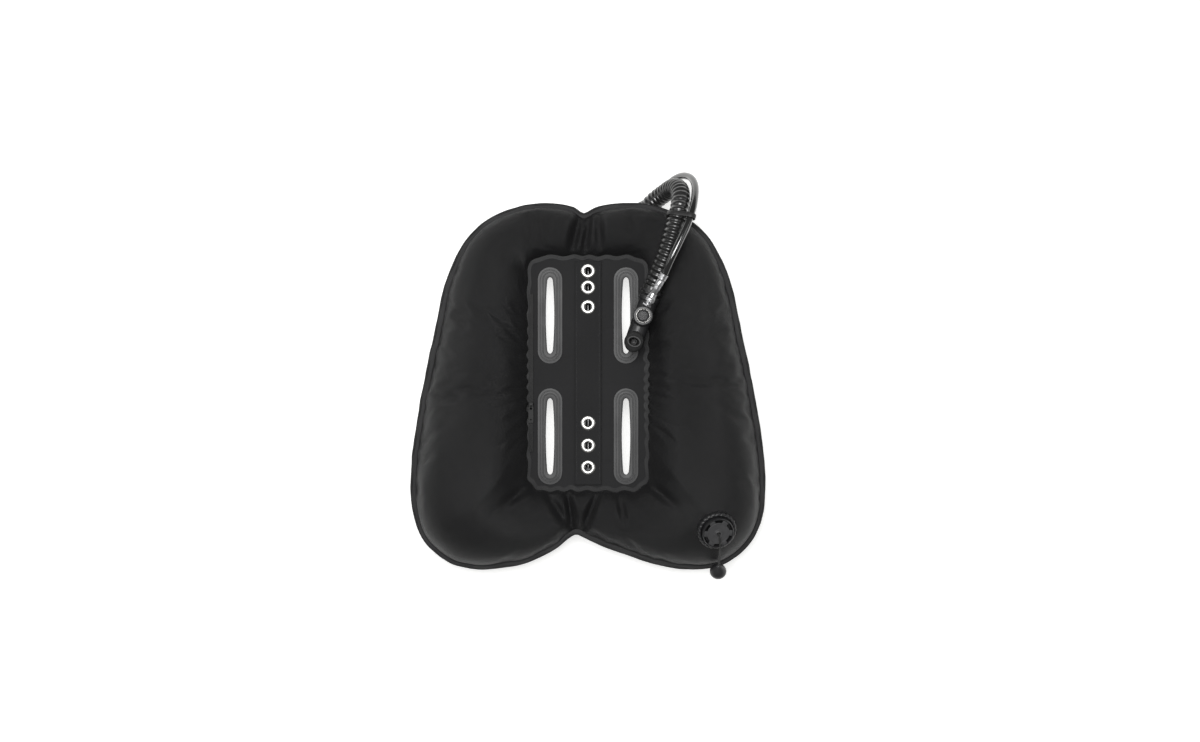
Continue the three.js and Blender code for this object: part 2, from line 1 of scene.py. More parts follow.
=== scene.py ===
# %% [markdown]
# # A back-mounted buoyancy wing
# The real thing is an airtight bladder in a sewn nylon shell, shaped like a thick frame round a
# flat panel. A diver bolts a plate to the panel, straps a tank behind it, and fills or empties
# the cell with the inflator on the corrugated hose. Here it lies inflated on a pale floor. The
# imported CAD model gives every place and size, and each piece is then made as its maker would.

import json
import math

import bmesh
import bpy
from mathutils import Matrix, Vector, noise

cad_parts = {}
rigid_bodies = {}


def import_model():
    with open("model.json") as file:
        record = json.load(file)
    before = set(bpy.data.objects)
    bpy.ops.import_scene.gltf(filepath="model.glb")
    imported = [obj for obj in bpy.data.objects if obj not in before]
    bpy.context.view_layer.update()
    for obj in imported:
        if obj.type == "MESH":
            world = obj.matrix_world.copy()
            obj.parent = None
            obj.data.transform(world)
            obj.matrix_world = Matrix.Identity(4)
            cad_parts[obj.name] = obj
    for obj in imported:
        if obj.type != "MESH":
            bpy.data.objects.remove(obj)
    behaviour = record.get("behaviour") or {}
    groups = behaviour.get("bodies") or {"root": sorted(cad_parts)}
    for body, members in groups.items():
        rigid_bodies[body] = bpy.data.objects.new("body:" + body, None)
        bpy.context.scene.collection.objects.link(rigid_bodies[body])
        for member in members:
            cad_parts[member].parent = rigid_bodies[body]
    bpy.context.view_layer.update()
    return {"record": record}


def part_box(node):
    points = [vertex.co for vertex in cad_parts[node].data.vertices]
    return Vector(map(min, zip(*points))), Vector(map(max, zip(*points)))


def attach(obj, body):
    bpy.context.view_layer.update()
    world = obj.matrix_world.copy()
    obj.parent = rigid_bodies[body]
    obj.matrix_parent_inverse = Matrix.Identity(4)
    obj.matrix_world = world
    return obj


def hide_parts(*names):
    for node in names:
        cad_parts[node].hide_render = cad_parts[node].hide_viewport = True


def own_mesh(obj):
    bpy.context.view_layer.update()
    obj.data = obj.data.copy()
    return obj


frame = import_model()
scene = bpy.context.scene
MM = 0.001
UP = Vector((0, 0, 1))


def middle(node):
    low, high = (Vector(corner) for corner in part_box(node))
    return (low + high) / 2


origin = middle("centre_panel") * Vector((1, 1, 0))
seam_z = middle("centre_panel").z
joint_axis = {joint["name"]: Vector(joint["axis"]) for joint in frame["record"]["behaviour"]["joints"]}


def place(x, y, z=0.0):
    """A point given in millimetres from the panel's middle, on the floor."""
    return origin + Vector((x, y, z)) * MM


def flat_of(point):
    """Millimetres from the panel's middle, for a point of the frame."""
    return (point - origin) / MM


print("panel middle", origin, "seam height", round(seam_z, 4))

# %% [markdown]
# ## Camera, floor and light
# The wing is seen from straight above. A long lens from 3.4 m keeps the hoses, which stand
# highest, from leaning outwards. The floor glows a little, as a lit table does, so the strap
# slots show bright floor and not their own shade. A soft key light overhead and two faint ones
# at the sides leave broad, gentle highlights on the tubes.

# %% Camera, floor and light
FRAME_WIDTH = 1.706  # metres across the view at the seam's height
CAMERA_RISE = 3.4
SENSOR = 36.0

camera_data = bpy.data.cameras.new("camera")
camera_data.sensor_width = SENSOR
camera_data.lens = SENSOR * CAMERA_RISE / FRAME_WIDTH
camera = bpy.data.objects.new("camera", camera_data)
camera.location = place(17, 3, 0) + UP * (CAMERA_RISE + seam_z)
scene.collection.objects.link(camera)
scene.camera = camera
scene.view_settings.view_transform = "Standard"


def soft_light(name, at, size, power):
    data = bpy.data.lights.new(name, "AREA")
    data.size = size
    data.energy = power
    lamp = bpy.data.objects.new(name, data)
    lamp.location = at
    lamp.rotation_euler = (origin - Vector(at)).to_track_quat("-Z", "Y").to_euler()
    scene.collection.objects.link(lamp)


soft_light("key", (-0.15, 0.35, 2.5), 1.0, 54)
soft_light("left", (-1.9, 0.5, 1.7), 1.2, 7)
soft_light("right", (1.9, 0.2, 1.7), 1.2, 6)

world = bpy.data.worlds.new("studio")
world.use_nodes = True
world.node_tree.nodes["Background"].inputs["Color"].default_value = (1, 1, 1, 1)
world.node_tree.nodes["Background"].inputs["Strength"].default_value = 0.15
scene.world = world

floor_bm = bmesh.new()
bmesh.ops.create_grid(floor_bm, x_segments=2, y_segments=2, size=4.0)
floor_mesh = bpy.data.meshes.new("floor")
floor_bm.to_mesh(floor_mesh)
floor_bm.free()
floor_finish = bpy.data.materials.new("floor")
floor_finish.use_nodes = True
floor_shader = floor_finish.node_tree.nodes["Principled BSDF"]
floor_shader.inputs["Base Color"].default_value = (0.8, 0.8, 0.79, 1)
floor_shader.inputs["Roughness"].default_value = 0.9
floor_shader.inputs["Emission Color"].default_value = (1, 1, 0.99, 1)
floor_shader.inputs["Emission Strength"].default_value = 0.66
floor_mesh.materials.append(floor_finish)
floor = bpy.data.objects.new("floor", floor_mesh)
floor.location.z = -0.0005
scene.collection.objects.link(floor)
print("camera at", camera.location, "lens", round(camera_data.lens, 1))

# %% [markdown]
# ## A small kit for finishes
# Shader maths is easier to read as sums than as boxes and wires. `Value` wraps one socket, so
# `1 - mask * 0.4` adds its own Math nodes. `Finish` starts a material with one Principled
# shader, and its `node` method adds any other node in a line.

# %% Finish kit
class Value:
    """A number that changes over a surface."""

    def __init__(self, finish, socket):
        self.finish = finish
        self.socket = socket

    def maths(self, operation, *values):
        return self.finish.node("ShaderNodeMath", {"operation": operation}, dict(enumerate(values)))

    def __add__(self, other):
        return self.maths("ADD", self, other)

    def __mul__(self, other):
        return self.maths("MULTIPLY", self, other)

    def __sub__(self, other):
        return self.maths("SUBTRACT", self, other)

    def __rsub__(self, other):
        return self.maths("SUBTRACT", other, self)

    __radd__ = __add__
    __rmul__ = __mul__

    def sine(self):
        return self.maths("SINE", self)

    def size(self):
        return self.maths("ABSOLUTE", self)

    def over(self, edge):
        return self.maths("GREATER_THAN", self, edge)


class Finish:
    """A material under construction."""

    def __init__(self, name, roughness=0.5, metallic=0.0, **constants):
        self.material = bpy.data.materials.new(name)
        self.material.use_nodes = True
        self.tree = self.material.node_tree
        self.shader = self.tree.nodes["Principled BSDF"]
        self.shader.inputs["Roughness"].default_value = roughness
        self.shader.inputs["Metallic"].default_value = metallic
        for socket, value in constants.items():
            self.shader.inputs[socket.replace("_", " ")].default_value = value

    def connect(self, socket, value):
        if isinstance(value, Value):
            self.tree.links.new(value.socket, socket)
        else:
            socket.default_value = value

    def node(self, kind, settings=None, inputs=None, output=0):
        made = self.tree.nodes.new(kind)
        for name, value in (settings or {}).items():
            if name == "stops":
                made.color_ramp.elements[0].position, made.color_ramp.elements[0].color = value[0]
                made.color_ramp.elements[1].position, made.color_ramp.elements[1].color = value[1]
            else:
                setattr(made, name, value)
        for name, value in (inputs or {}).items():
            self.connect(made.inputs[name], value)
        return Value(self, made.outputs[output])

    def place(self):
        """Object coordinates, in metres."""
        return self.node("ShaderNodeTexCoord", output="Object")

    def cloth_place(self):
        """The piece's own UV map, in metres along the cloth."""
        return self.node("ShaderNodeTexCoord", output="UV")

    def axes(self, vector):
        split = self.node("ShaderNodeSeparateXYZ", {}, {0: vector})
        outputs = split.socket.node.outputs
        return [Value(self, outputs[i]) for i in range(3)]

    def grain(self, scale, detail=3.0, vector=None):
        return self.node("ShaderNodeTexNoise", {}, {
            "Vector": vector or self.place(), "Scale": scale, "Detail": detail})

    def colour(self, dark, light, share):
        mixed = self.node("ShaderNodeMix", {"data_type": "RGBA"}, {
            "Factor": share, 6: (*dark, 1), 7: (*light, 1)}, output=2)
        self.connect(self.shader.inputs["Base Color"], mixed)

    def relief(self, height, distance, strength=1.0):
        bump = self.node("ShaderNodeBump", {}, {
            "Strength": strength, "Distance": distance, "Height": height})
        self.connect(self.shader.inputs["Normal"], bump)

    def rough(self, value):
        self.connect(self.shader.inputs["Roughness"], value)


print("finish kit ready")

# %% [markdown]
# ## Finishes
# Nearly everything is black, so what tells the pieces apart is how they shine. The shell is a
# coated nylon with a soft sheen, the panel a drier cloth, the patches a smooth urethane, and
# the hoses rubber. Each weave is two crossed waves in the cloth's own coordinates, which keeps
# its threads the right size however the cloth is bent.

# %% Finishes
def woven(name, dark, light, pitch, roughness, sheen, from_cloth=True, gloss=0.2):
    """Plain weave of threads `pitch` metres apart."""
    look = Finish(name, roughness, Sheen_Weight=sheen, Sheen_Roughness=0.4, Specular_IOR_Level=gloss)
    across, along, _ = look.axes(look.cloth_place() if from_cloth else look.place())
    turn = math.pi / pitch
    warp = (across * turn).sine()
    weft = (along * turn).sine()
    threads = (warp * weft).size()
    patches = look.grain(18.0)
    look.colour(dark, light, patches * 0.7 + threads * 0.3)
    look.rough(roughness - 0.12 + patches * 0.24)
    look.relief(threads + patches * 0.6, pitch * 0.5, 0.5)
    return look.material


def moulded(name, dark, light, roughness, grain=900.0, depth=0.00004, coat=0.0):
    """Plastic or rubber with a fine moulded grain and faint handling marks."""
    look = Finish(name, roughness, Coat_Weight=coat)
    fine = look.grain(grain, 2.0)
    marks = look.grain(35.0, 5.0)
    look.colour(dark, light, marks)
    look.rough(roughness - 0.08 + marks * 0.16)
    look.relief(fine + marks * 0.3, depth, 0.7)
    return look.material


def plated(name, dark, light, roughness):
    """Bright plating with faint polishing lines and dull spots."""
    look = Finish(name, roughness, 1.0)
    x, y, z = look.axes(look.place())
    lines = look.node("ShaderNodeTexNoise", {}, {
        "Vector": look.place(), "Scale": 1400.0, "Detail": 1.0})
    spots = look.grain(120.0, 4.0)
    look.colour(dark, light, spots)
    look.rough(roughness - 0.04 + spots * 0.12)
    look.relief(lines, 0.000015, 0.4)
    return look.material


shell_nylon = woven("shell_nylon", (0.006, 0.006, 0.0063), (0.014, 0.014, 0.0145), 0.0007, 0.44, 0.02)
piping_nylon = woven("piping_nylon", (0.01, 0.01, 0.0103), (0.022, 0.022, 0.0226), 0.0009, 0.55, 0.02)
panel_cloth = woven("panel_cloth", (0.014, 0.014, 0.0145), (0.028, 0.028, 0.029), 0.0009, 0.75, 0.02)
webbing = woven("webbing", (0.012, 0.012, 0.0124), (0.026, 0.026, 0.027), 0.0018, 0.75, 0.02)
pull_braid = woven("pull_braid", (0.01, 0.01, 0.01), (0.03, 0.03, 0.03), 0.0009, 0.7, 0.1, False)
thread = woven("thread", (0.02, 0.02, 0.021), (0.05, 0.05, 0.052), 0.0005, 0.6, 0.1, False)
coated_patch = moulded("coated_patch", (0.012, 0.012, 0.0124), (0.022, 0.022, 0.0227), 0.5, 260.0, 0.0001)
bladder_film = moulded("bladder_film", (0.07, 0.075, 0.08), (0.1, 0.11, 0.12), 0.35, 300.0)
nickel = plated("nickel", (0.34, 0.34, 0.33), (0.5, 0.49, 0.47), 0.3)
chrome = plated("chrome", (0.5, 0.5, 0.51), (0.66, 0.66, 0.67), 0.3)
black_plastic = moulded("black_plastic", (0.008, 0.008, 0.009), (0.02, 0.02, 0.021), 0.42)
grey_plastic = moulded("grey_plastic", (0.035, 0.035, 0.036), (0.06, 0.06, 0.062), 0.48)
soft_rubber = moulded("soft_rubber", (0.007, 0.007, 0.007), (0.018, 0.018, 0.018), 0.55, 500.0, 0.00006)
bellows_rubber = moulded("bellows_rubber", (0.007, 0.007, 0.007), (0.016, 0.016, 0.016), 0.34, 700.0, 0.00004,
                         0.4)
hose_rubber = moulded("hose_rubber", (0.006, 0.006, 0.006), (0.014, 0.014, 0.014), 0.18, 1500.0, 0.00002, 1.0)
seal_rubber = moulded("seal_rubber", (0.02, 0.02, 0.02), (0.04, 0.04, 0.04), 0.5)
zip_coil = moulded("zip_coil", (0.004, 0.004, 0.004), (0.009, 0.009, 0.009), 0.7)
black_metal = plated("black_metal", (0.008, 0.008, 0.008), (0.02, 0.02, 0.02), 0.42)
spring_steel = plated("spring_steel", (0.4, 0.4, 0.4), (0.55, 0.55, 0.55), 0.3)

slot_finish = {
    "shell_nylon": shell_nylon, "piping_nylon": piping_nylon, "panel_cloth": panel_cloth,
    "webbing": webbing, "pull_cord": pull_braid, "coated_patch": coated_patch,
    "bladder_film": bladder_film, "nickel": nickel, "chrome": chrome,
    "black_plastic": black_plastic, "grey_plastic": grey_plastic, "soft_rubber": soft_rubber,
    "hose_rubber": hose_rubber, "seal_rubber": seal_rubber, "spring_steel": spring_steel,
    "black_metal": black_metal,
}
for row in frame["record"]["subparts"]:
    part = bpy.data.objects[row["node"]]
    part.data.materials.clear()
    part.data.materials.append(slot_finish[row["material_slot"]])
print(len(slot_finish), "finishes")

# %% [markdown]
# ## Tools of the workshop
# Three ways of making cover nearly every piece: turning a profile round an axis, as on a
# lathe; drawing a section along a route, as a hose is extruded; and joining several such
# shapes into one piece. A section is drawn by extruding its edge loop from one station to the
# next, so the surface stays one clean skin.

# %% Turning, drawing and joining
def turned(profile, at=None, steps=64):
    """A shape turned round Z from (radius, height) pairs in millimetres."""
    bm = bmesh.new()
    verts = [bm.verts.new((r * MM, 0, z * MM)) for r, z in profile]
    edges = [bm.edges.new(pair) for pair in zip(verts, verts[1:])]
    bmesh.ops.spin(bm, geom=verts + edges, cent=(0, 0, 0), axis=UP, angle=math.tau, steps=steps,
                   use_merge=True)
    bmesh.ops.remove_doubles(bm, verts=bm.verts, dist=1e-6)
    if at is not None:
        bmesh.ops.transform(bm, matrix=at, verts=bm.verts)
    return bm


def ring_profile(inner, outer, low, high, bevel=0.4):
    """The closed profile of a ring with eased corners."""
    b = bevel
    return [(inner, low + b), (inner + b, low), (outer - b, low), (outer, low + b), (outer, high - b),
            (outer - b, high), (inner + b, high), (inner, high - b), (inner, low + b)]


def smooth_path(points, step=3.0):
    """Points every `step` millimetres on the same smooth curve that the CAD hose follows."""
    p = [Vector(q) for q in points]
    p = [2 * p[0] - p[1], *p, 2 * p[-1] - p[-2]]
    fine = []
    for a, b, c, d in zip(p, p[1:], p[2:], p[3:]):
        t0 = 0.0
        t1 = t0 + (b - a).length ** 0.5
        t2 = t1 + (c - b).length ** 0.5
        t3 = t2 + (d - c).length ** 0.5
        for i in range(24):
            t = t1 + (t2 - t1) * i / 24
            ab = a * ((t1 - t) / (t1 - t0)) + b * ((t - t0) / (t1 - t0))
            bc = b * ((t2 - t) / (t2 - t1)) + c * ((t - t1) / (t2 - t1))
            cd = c * ((t3 - t) / (t3 - t2)) + d * ((t - t2) / (t3 - t2))
            abc = ab * ((t2 - t) / (t2 - t0)) + bc * ((t - t0) / (t2 - t0))
            bcd = bc * ((t3 - t) / (t3 - t1)) + cd * ((t - t1) / (t3 - t1))
            fine.append(abc * ((t2 - t) / (t2 - t1)) + bcd * ((t - t1) / (t2 - t1)))
    fine.append(p[-2])
    return even([place(*q) for q in fine], step * MM)


def even(points, step):
    """The same line with its points `step` apart, or as near as fits it a whole number of times."""
    run = [0.0]
    for a, b in zip(points, points[1:]):
        run.append(run[-1] + (b - a).length)
    count = max(2, round(run[-1] / step))
    spaced = []
    at = 0
    for i in range(count + 1):
        want = run[-1] * i / count
        while at < len(run) - 2 and run[at + 1] < want:
            at += 1
        share = (want - run[at]) / max(run[at + 1] - run[at], 1e-12)
        spaced.append(points[at].lerp(points[at + 1], min(1.0, share)))
    return spaced


def stations(path, closed=False, up=None):
    """A frame at each point: X and Y across the path, Z along it."""
    frames = []
    across = None
    last = len(path) - 1
    for i, point in enumerate(path):
        ahead = path[(i + 1) % len(path)] if closed else path[min(i + 1, last)]
        behind = path[i - 1] if closed or i else path[0]
        along = (ahead - behind).normalized()
        if up is not None:
            across = along.cross(up)
        elif across is None:
            across = along.orthogonal()
        across = (across - along * across.dot(along)).normalized()
        turn = Matrix((across, along.cross(across), along)).transposed().to_4x4()
        frames.append(Matrix.Translation(point) @ turn)
    return frames


def drawn(frames, section, grow=None, closed=False):
    """A section, given as (x, y) in metres, drawn through every frame; grow(i) scales it."""
    bm = bmesh.new()
    sizes = [grow(i) if grow else 1.0 for i in range(len(frames))]
    settings = [f @ Matrix.Scale(s, 4) for f, s in zip(frames, sizes)]
    verts = [bm.verts.new(settings[0] @ Vector((x, y, 0))) for x, y in section]
    edges = [bm.edges.new((a, b)) for a, b in zip(verts, verts[1:] + verts[:1])]
    first = edges
    stops = list(zip(settings, settings[1:] + settings[:1] if closed else settings[1:]))
    for before, after in stops:
        made = bmesh.ops.extrude_edge_only(bm, edges=edges)["geom"]
        verts = [g for g in made if isinstance(g, bmesh.types.BMVert)]
        edges = [g for g in made if isinstance(g, bmesh.types.BMEdge)]
        bmesh.ops.transform(bm, matrix=after @ before.inverted(), verts=verts)
    if closed:
        bmesh.ops.remove_doubles(bm, verts=bm.verts, dist=2e-6)
    else:
        bmesh.ops.edgeloop_fill(bm, edges=first)
        bmesh.ops.edgeloop_fill(bm, edges=edges)
    return bm


def round_section(radius, sides=20):
    """A circle's points, in millimetres, as a section."""
    turns = [math.tau * i / sides for i in range(sides)]
    return [(radius * MM * math.cos(a), radius * MM * math.sin(a)) for a in turns]


def plug(radius, low, high, bevel=0.8):
    """The profile of a solid round bar with eased ends."""
    return [(0, low), (radius - bevel, low), (radius, low + bevel), (radius, high - bevel),
            (radius - bevel, high), (0, high)]


def block(low, high, bevel=0.4, at=None):
    """A block with eased edges between two corners in millimetres."""
    bm = bmesh.new()
    bmesh.ops.create_cube(bm, size=1.0)
    low, high = Vector(low), Vector(high)
    for v in bm.verts:
        v.co = ((low + high) / 2 + v.co * (high - low)) * MM
    bmesh.ops.bevel(bm, geom=bm.edges[:], offset=bevel * MM, segments=2, affect="EDGES", profile=0.5)
    if at is not None:
        bmesh.ops.transform(bm, matrix=at, verts=bm.verts)
    return bm


def offset_by(x, y, z):
    return Matrix.Translation(Vector((x, y, z)) * MM)


LAY = Matrix.Rotation(math.pi / 2, 4, "Y")  # lays an upright shape along X


def joined(*parts):
    """Several shapes as one."""
    whole = bmesh.new()
    for bm in parts:
        mesh = bpy.data.meshes.new("part")
        bmesh.ops.recalc_face_normals(bm, faces=bm.faces)
        bm.to_mesh(mesh)
        bm.free()
        whole.from_mesh(mesh)
        bpy.data.meshes.remove(mesh)
    return whole


def finished(name, bm, finish, body="cell", replaces=(), crease=40.0, tidy=True):
    """The shape as a piece that rides on a body and stands for CAD nodes."""
    if tidy:
        bmesh.ops.remove_doubles(bm, verts=bm.verts, dist=1e-6)
        bmesh.ops.recalc_face_normals(bm, faces=bm.faces)
    mesh = bpy.data.meshes.new(name)
    bm.to_mesh(mesh)
    bm.free()
    mesh.shade_smooth()
    mesh.set_sharp_from_angle(angle=math.radians(crease))
    mesh.materials.append(finish)
    piece = bpy.data.objects.new(name, mesh)
    scene.collection.objects.link(piece)
    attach(piece, body)
    if replaces:
        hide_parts(*replaces)
    print(name, len(mesh.polygons), "faces")
    return piece


# %% [markdown]
# ## Cords first
# The corrugated hose, the low-pressure hose and the dump valve's pull cord each have a real
# length, so they are laid before anything else. They follow the CAD routes, point by point.
# The corrugated hose is a bellows: its radius swells and shrinks every 7.8 mm.

# %% Corrugated hose
corrugated_route = [
    (70.2, 216.6, 22), (81, 231, 23), (93, 245, 31), (108, 256, 46), (121, 263, 68),
    (129, 258, 92), (130, 240, 114), (123, 210, 126), (112, 172, 125), (99, 140, 115),
    (92.8, 125.3, 107.2), (87.9, 111.2, 106),
]
RIB_PITCH = 7.8
HOSE_RADIUS = 13.6
RIB_DEPTH = 1.9
CUFF = 12.0  # plain length at each end

hose_path = smooth_path(corrugated_route, RIB_PITCH / 8)
hose_step = RIB_PITCH / 8
hose_length = (len(hose_path) - 1) * hose_step


def bellows(i):
    run = i * hose_step
    if min(run, hose_length - run) < CUFF:
        return (HOSE_RADIUS - 0.4) / HOSE_RADIUS
    wave = 0.5 + 0.5 * math.cos(math.tau * (run - CUFF) / RIB_PITCH)
    return 1 - RIB_DEPTH / HOSE_RADIUS * (1 - wave ** 0.6)


corrugated = finished("corrugated_hose_skin",
                      drawn(stations(hose_path), round_section(HOSE_RADIUS, 36), bellows),
                      bellows_rubber, replaces=("corrugated_hose",), crease=60)

# %% Low-pressure hose
lp_route = [
    (102.7, 130.6, 136.7), (107.3, 138.7, 138.8), (115.5, 158, 145), (127, 182, 146),
    (138, 206, 142), (146, 229, 133), (150, 249, 116), (150.5, 265, 98), (146, 276, 80),
    (136, 281, 60), (124, 278, 40), (112, 269, 22), (98, 257, 11), (82, 246, 7),
    (62, 235, 5.6), (36, 218, 5.6), (12, 195, 5.6), (1, 165, 5.6), (0, 135, 5.6), (0, 0, 5.6),
    (0, -113, 7), (0, -130, 9.5), (0, -140, 9.6), (0, -150, 9.6),
]
LP_RADIUS = 5.25
lp_path = smooth_path(lp_route, 4.0)
lp = finished("lp_hose_skin", drawn(stations(lp_path), round_section(LP_RADIUS, 24)), hose_rubber,
              replaces=("lp_hose",), crease=60)
[tuple(p) for p in lp_path[::2]] + [tuple(lp_path[-1])]

# %% Pull cord
pull_route = [
    (181.24, -222.34, 125.06), (182.26, -225.45, 132.36), (183.1, -228.3, 136.8),
    (183.7, -234, 139), (184.2, -242, 135.5), (184.4, -252, 124), (184.3, -262, 109.5),
    (184.1, -270.5, 97.5),
]
pull_path = smooth_path(pull_route, 1.0)


def braid(i):
    return 1 + 0.07 * math.sin(math.tau * i / 2.5)


pull = finished("dump_cord_skin", drawn(stations(pull_path), round_section(1.5, 16), braid), pull_braid,
                body="dump_pull", replaces=("dump_cord",), crease=60)
print("cords: hose", round(hose_length), "mm, lp", len(lp_path) * 4, "mm, pull", len(pull_path), "mm")

# %% [markdown]
# ## The air cell
# The cell is cut as two flat nylon skins, sewn together round the outside and to the panel on
# the inside, and the bladder then blows them up. Cloth that is sewn flat and filled always has
# a little too much length along its seams, so it gathers there. The same is done here: a grid
# is wrapped round the cell, a few folds are pressed in where the lobes crowd each other, and a
# cloth simulation with air pressure and slightly oversized cloth lets the puckers form.

# %% The cell's plan
WING_WIDTH, WING_HEIGHT = ((b - a) / MM for a, b in zip(*(c[:2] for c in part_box("edge_piping"))))
PANEL_WIDTH, PANEL_HEIGHT = ((b - a) / MM for a, b in zip(*(c[:2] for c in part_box("centre_panel"))))
PANEL_CORNER = 24.0
SEAM_INSET = 9.0
WALL_BASE = 1.5
half_outline = [
    (0, 0.875), (0.075, 0.91), (0.28, 0.93), (0.46, 0.89), (0.6, 0.82), (0.71, 0.7),
    (0.8, 0.51), (0.86, 0.26), (0.95, -0.17), (0.995, -0.5), (0.99, -0.75), (0.93, -0.91),
    (0.8, -1.025), (0.65, -1.07), (0.38, -1.045), (0.16, -0.965), (0, -0.9),
]


def closed_spline(points, per_span=12):
    """A smooth closed line through the points, as the CAD outline has it."""
    count = len(points)
    line = []
    for i in range(count):
        a, b, c, d = (Vector(points[(i + k) % count]) for k in (-1, 0, 1, 2))
        t1 = (b - a).length ** 0.5
        t2 = t1 + (c - b).length ** 0.5
        t3 = t2 + (d - c).length ** 0.5
        for j in range(per_span):
            t = t1 + (t2 - t1) * j / per_span
            ab = a * ((t1 - t) / t1) + b * (t / t1)
            bc = b * ((t2 - t) / (t2 - t1)) + c * ((t - t1) / (t2 - t1))
            cd = c * ((t3 - t) / (t3 - t2)) + d * ((t - t2) / (t3 - t2))
            abc = ab * ((t2 - t) / t2) + bc * (t / t2)
            bcd = bc * ((t3 - t) / (t3 - t1)) + cd * ((t - t1) / (t3 - t1))
            line.append(abc * ((t2 - t) / (t2 - t1)) + bcd * ((t - t1) / (t2 - t1)))
    return line


left_half = [(-x, y) for x, y in reversed(half_outline[1:-1])]
outline = closed_spline([(x * WING_WIDTH / 2, y * WING_HEIGHT / 2) for x, y in half_outline + left_half])
for p in outline:
    if p.y < -150:
        p.y += 5 * math.exp(-abs(p.x) / 15)
        p.x -= 17 * math.exp(-(p.x / 46) ** 2)
    elif p.y > 150:
        p.x -= 6 * math.exp(-(p.x / 30) ** 2)
AROUND = 300
rim = even([*outline, outline[0]], sum((a - b).length for a, b in zip(outline, outline[1:])) / AROUND)[:-1]
AROUND = len(rim)


def beyond_panel(x, y):
    """Millimetres outside the rounded panel, negative inside it."""
    dx = abs(x) - PANEL_WIDTH / 2 + PANEL_CORNER
    dy = abs(y) - PANEL_HEIGHT / 2 + PANEL_CORNER
    return math.hypot(max(dx, 0), max(dy, 0)) + min(max(dx, dy), 0) - PANEL_CORNER


def panel_edge(outer):
    low, high = 0.0, 1.0
    for _ in range(30):
        half = (low + high) / 2
        if beyond_panel(outer.x * half, outer.y * half) < 0:
            low = half
        else:
            high = half
    return outer * high


cell_rim = [p * (1 - SEAM_INSET / p.length) for p in rim]
panel_rim = [panel_edge(p) for p in cell_rim]
print("cell plan", round(WING_WIDTH), "x", round(WING_HEIGHT), "mm,", AROUND, "stations")

# %% The cell's height
def to_segment(p, a, b):
    """Distance from p to the line a-b, and the share along it."""
    run = b - a
    share = max(0.0, min(1.0, (p - a).dot(run) / run.length_squared))
    return (p - a - run * share).length, share


def within_rim(p, i):
    """Distance to the outer seam, looked for near station i."""
    near = range(i - 40, i + 40)
    return min(to_segment(p, cell_rim[k % AROUND], cell_rim[(k + 1) % AROUND])[0] for k in near)


# Folds where the cloth is crowded: from, to, depth and half-width in millimetres.
folds = [
    ((-9, 232), (-24, 172), 13, 5.0), ((3, 233), (-5, 172), 10, 4.5), ((13, 236), (17, 178), 7, 5.0),
    ((-84, 222), (-80, 184), 2.5, 4.0), ((-70, 224), (-67, 180), 3, 4.0), ((-56, 222), (-55, 186), 2.5, 4.0),
    ((44, 166), (84, 140), 5, 5.0), ((60, 226), (68, 186), 2, 5.0),
    ((-29, -170), (-19, -236), 11, 5.0), ((-60, -167), (-24, -222), 6, 5.5), ((14, -169), (-8, -226), 8, 5.0),
    ((44, -171), (52, -212), 5, 5.0), ((-84, -160), (-118, -184), 4, 6.0), ((86, -158), (122, -184), 4, 6.0),
]


def fold_depth(p):
    depth = 0.0
    for start, end, deep, wide in folds:
        away, share = to_segment(p, Vector(start), Vector(end))
        depth += deep * math.exp(-(away / wide) ** 2) * math.sin(math.pi * min(0.97, 0.12 + share * 0.76))
    return depth


ACROSS = 30  # grid spaces across each skin
turns = [math.pi * j / ACROSS for j in range(ACROSS + 1)]
spots = []
for i in range(AROUND):
    row = [panel_rim[i].lerp(cell_rim[i], (1 - math.cos(t)) / 2) for t in turns]
    spots.append([(p, 2 * math.sqrt(max(beyond_panel(*p), 0) * within_rim(p, i))) for p in row])
fullest = max(round_ for row in spots for _, round_ in row)
rise = (seam_z / MM - WALL_BASE - 1.6) / fullest
print("fullest tube", round(fullest, 1), "mm")

# %% Wrap the cloth round the cell
GATHER = 38.0  # length of one gather along the panel's seam


def scallop(i):
    """How far the outer seam wanders at station i, in millimetres."""
    p = cell_rim[i % AROUND]
    return 0.9 * noise.noise(Vector((p.x, p.y, 7.0)) / 31) + 0.5 * noise.noise(Vector((p.x, p.y, 2.0)) / 12)


def gather(i):
    """How far the inner seam wanders at station i, in millimetres."""
    run = (i % AROUND) * 5.3
    p = panel_rim[i % AROUND]
    return 1.7 * math.sin(math.tau * run / GATHER + 1.5 * math.sin(run / 71)) + 1.6 * noise.noise(p.to_3d()
                                                                                                  / 17)


def cell_point(i, j, side):
    """A point of the front (side 1) or back (side -1) skin, in millimetres from the panel."""
    i %= AROUND
    p, full = spots[i][j]
    outward = (cell_rim[i] - panel_rim[i]).normalized()
    share = j / ACROSS
    ripple = gather(i) * math.exp(-share * 9)
    p = p + outward * (ripple + scallop(i) * math.exp(-(1 - share) * 9))
    height = rise * full * 0.97 - fold_depth(p) * math.sin(math.pi * share) * (1.0 if side > 0 else 0.6)
    return Vector((p.x, p.y, side * (WALL_BASE + max(0.0, height))))


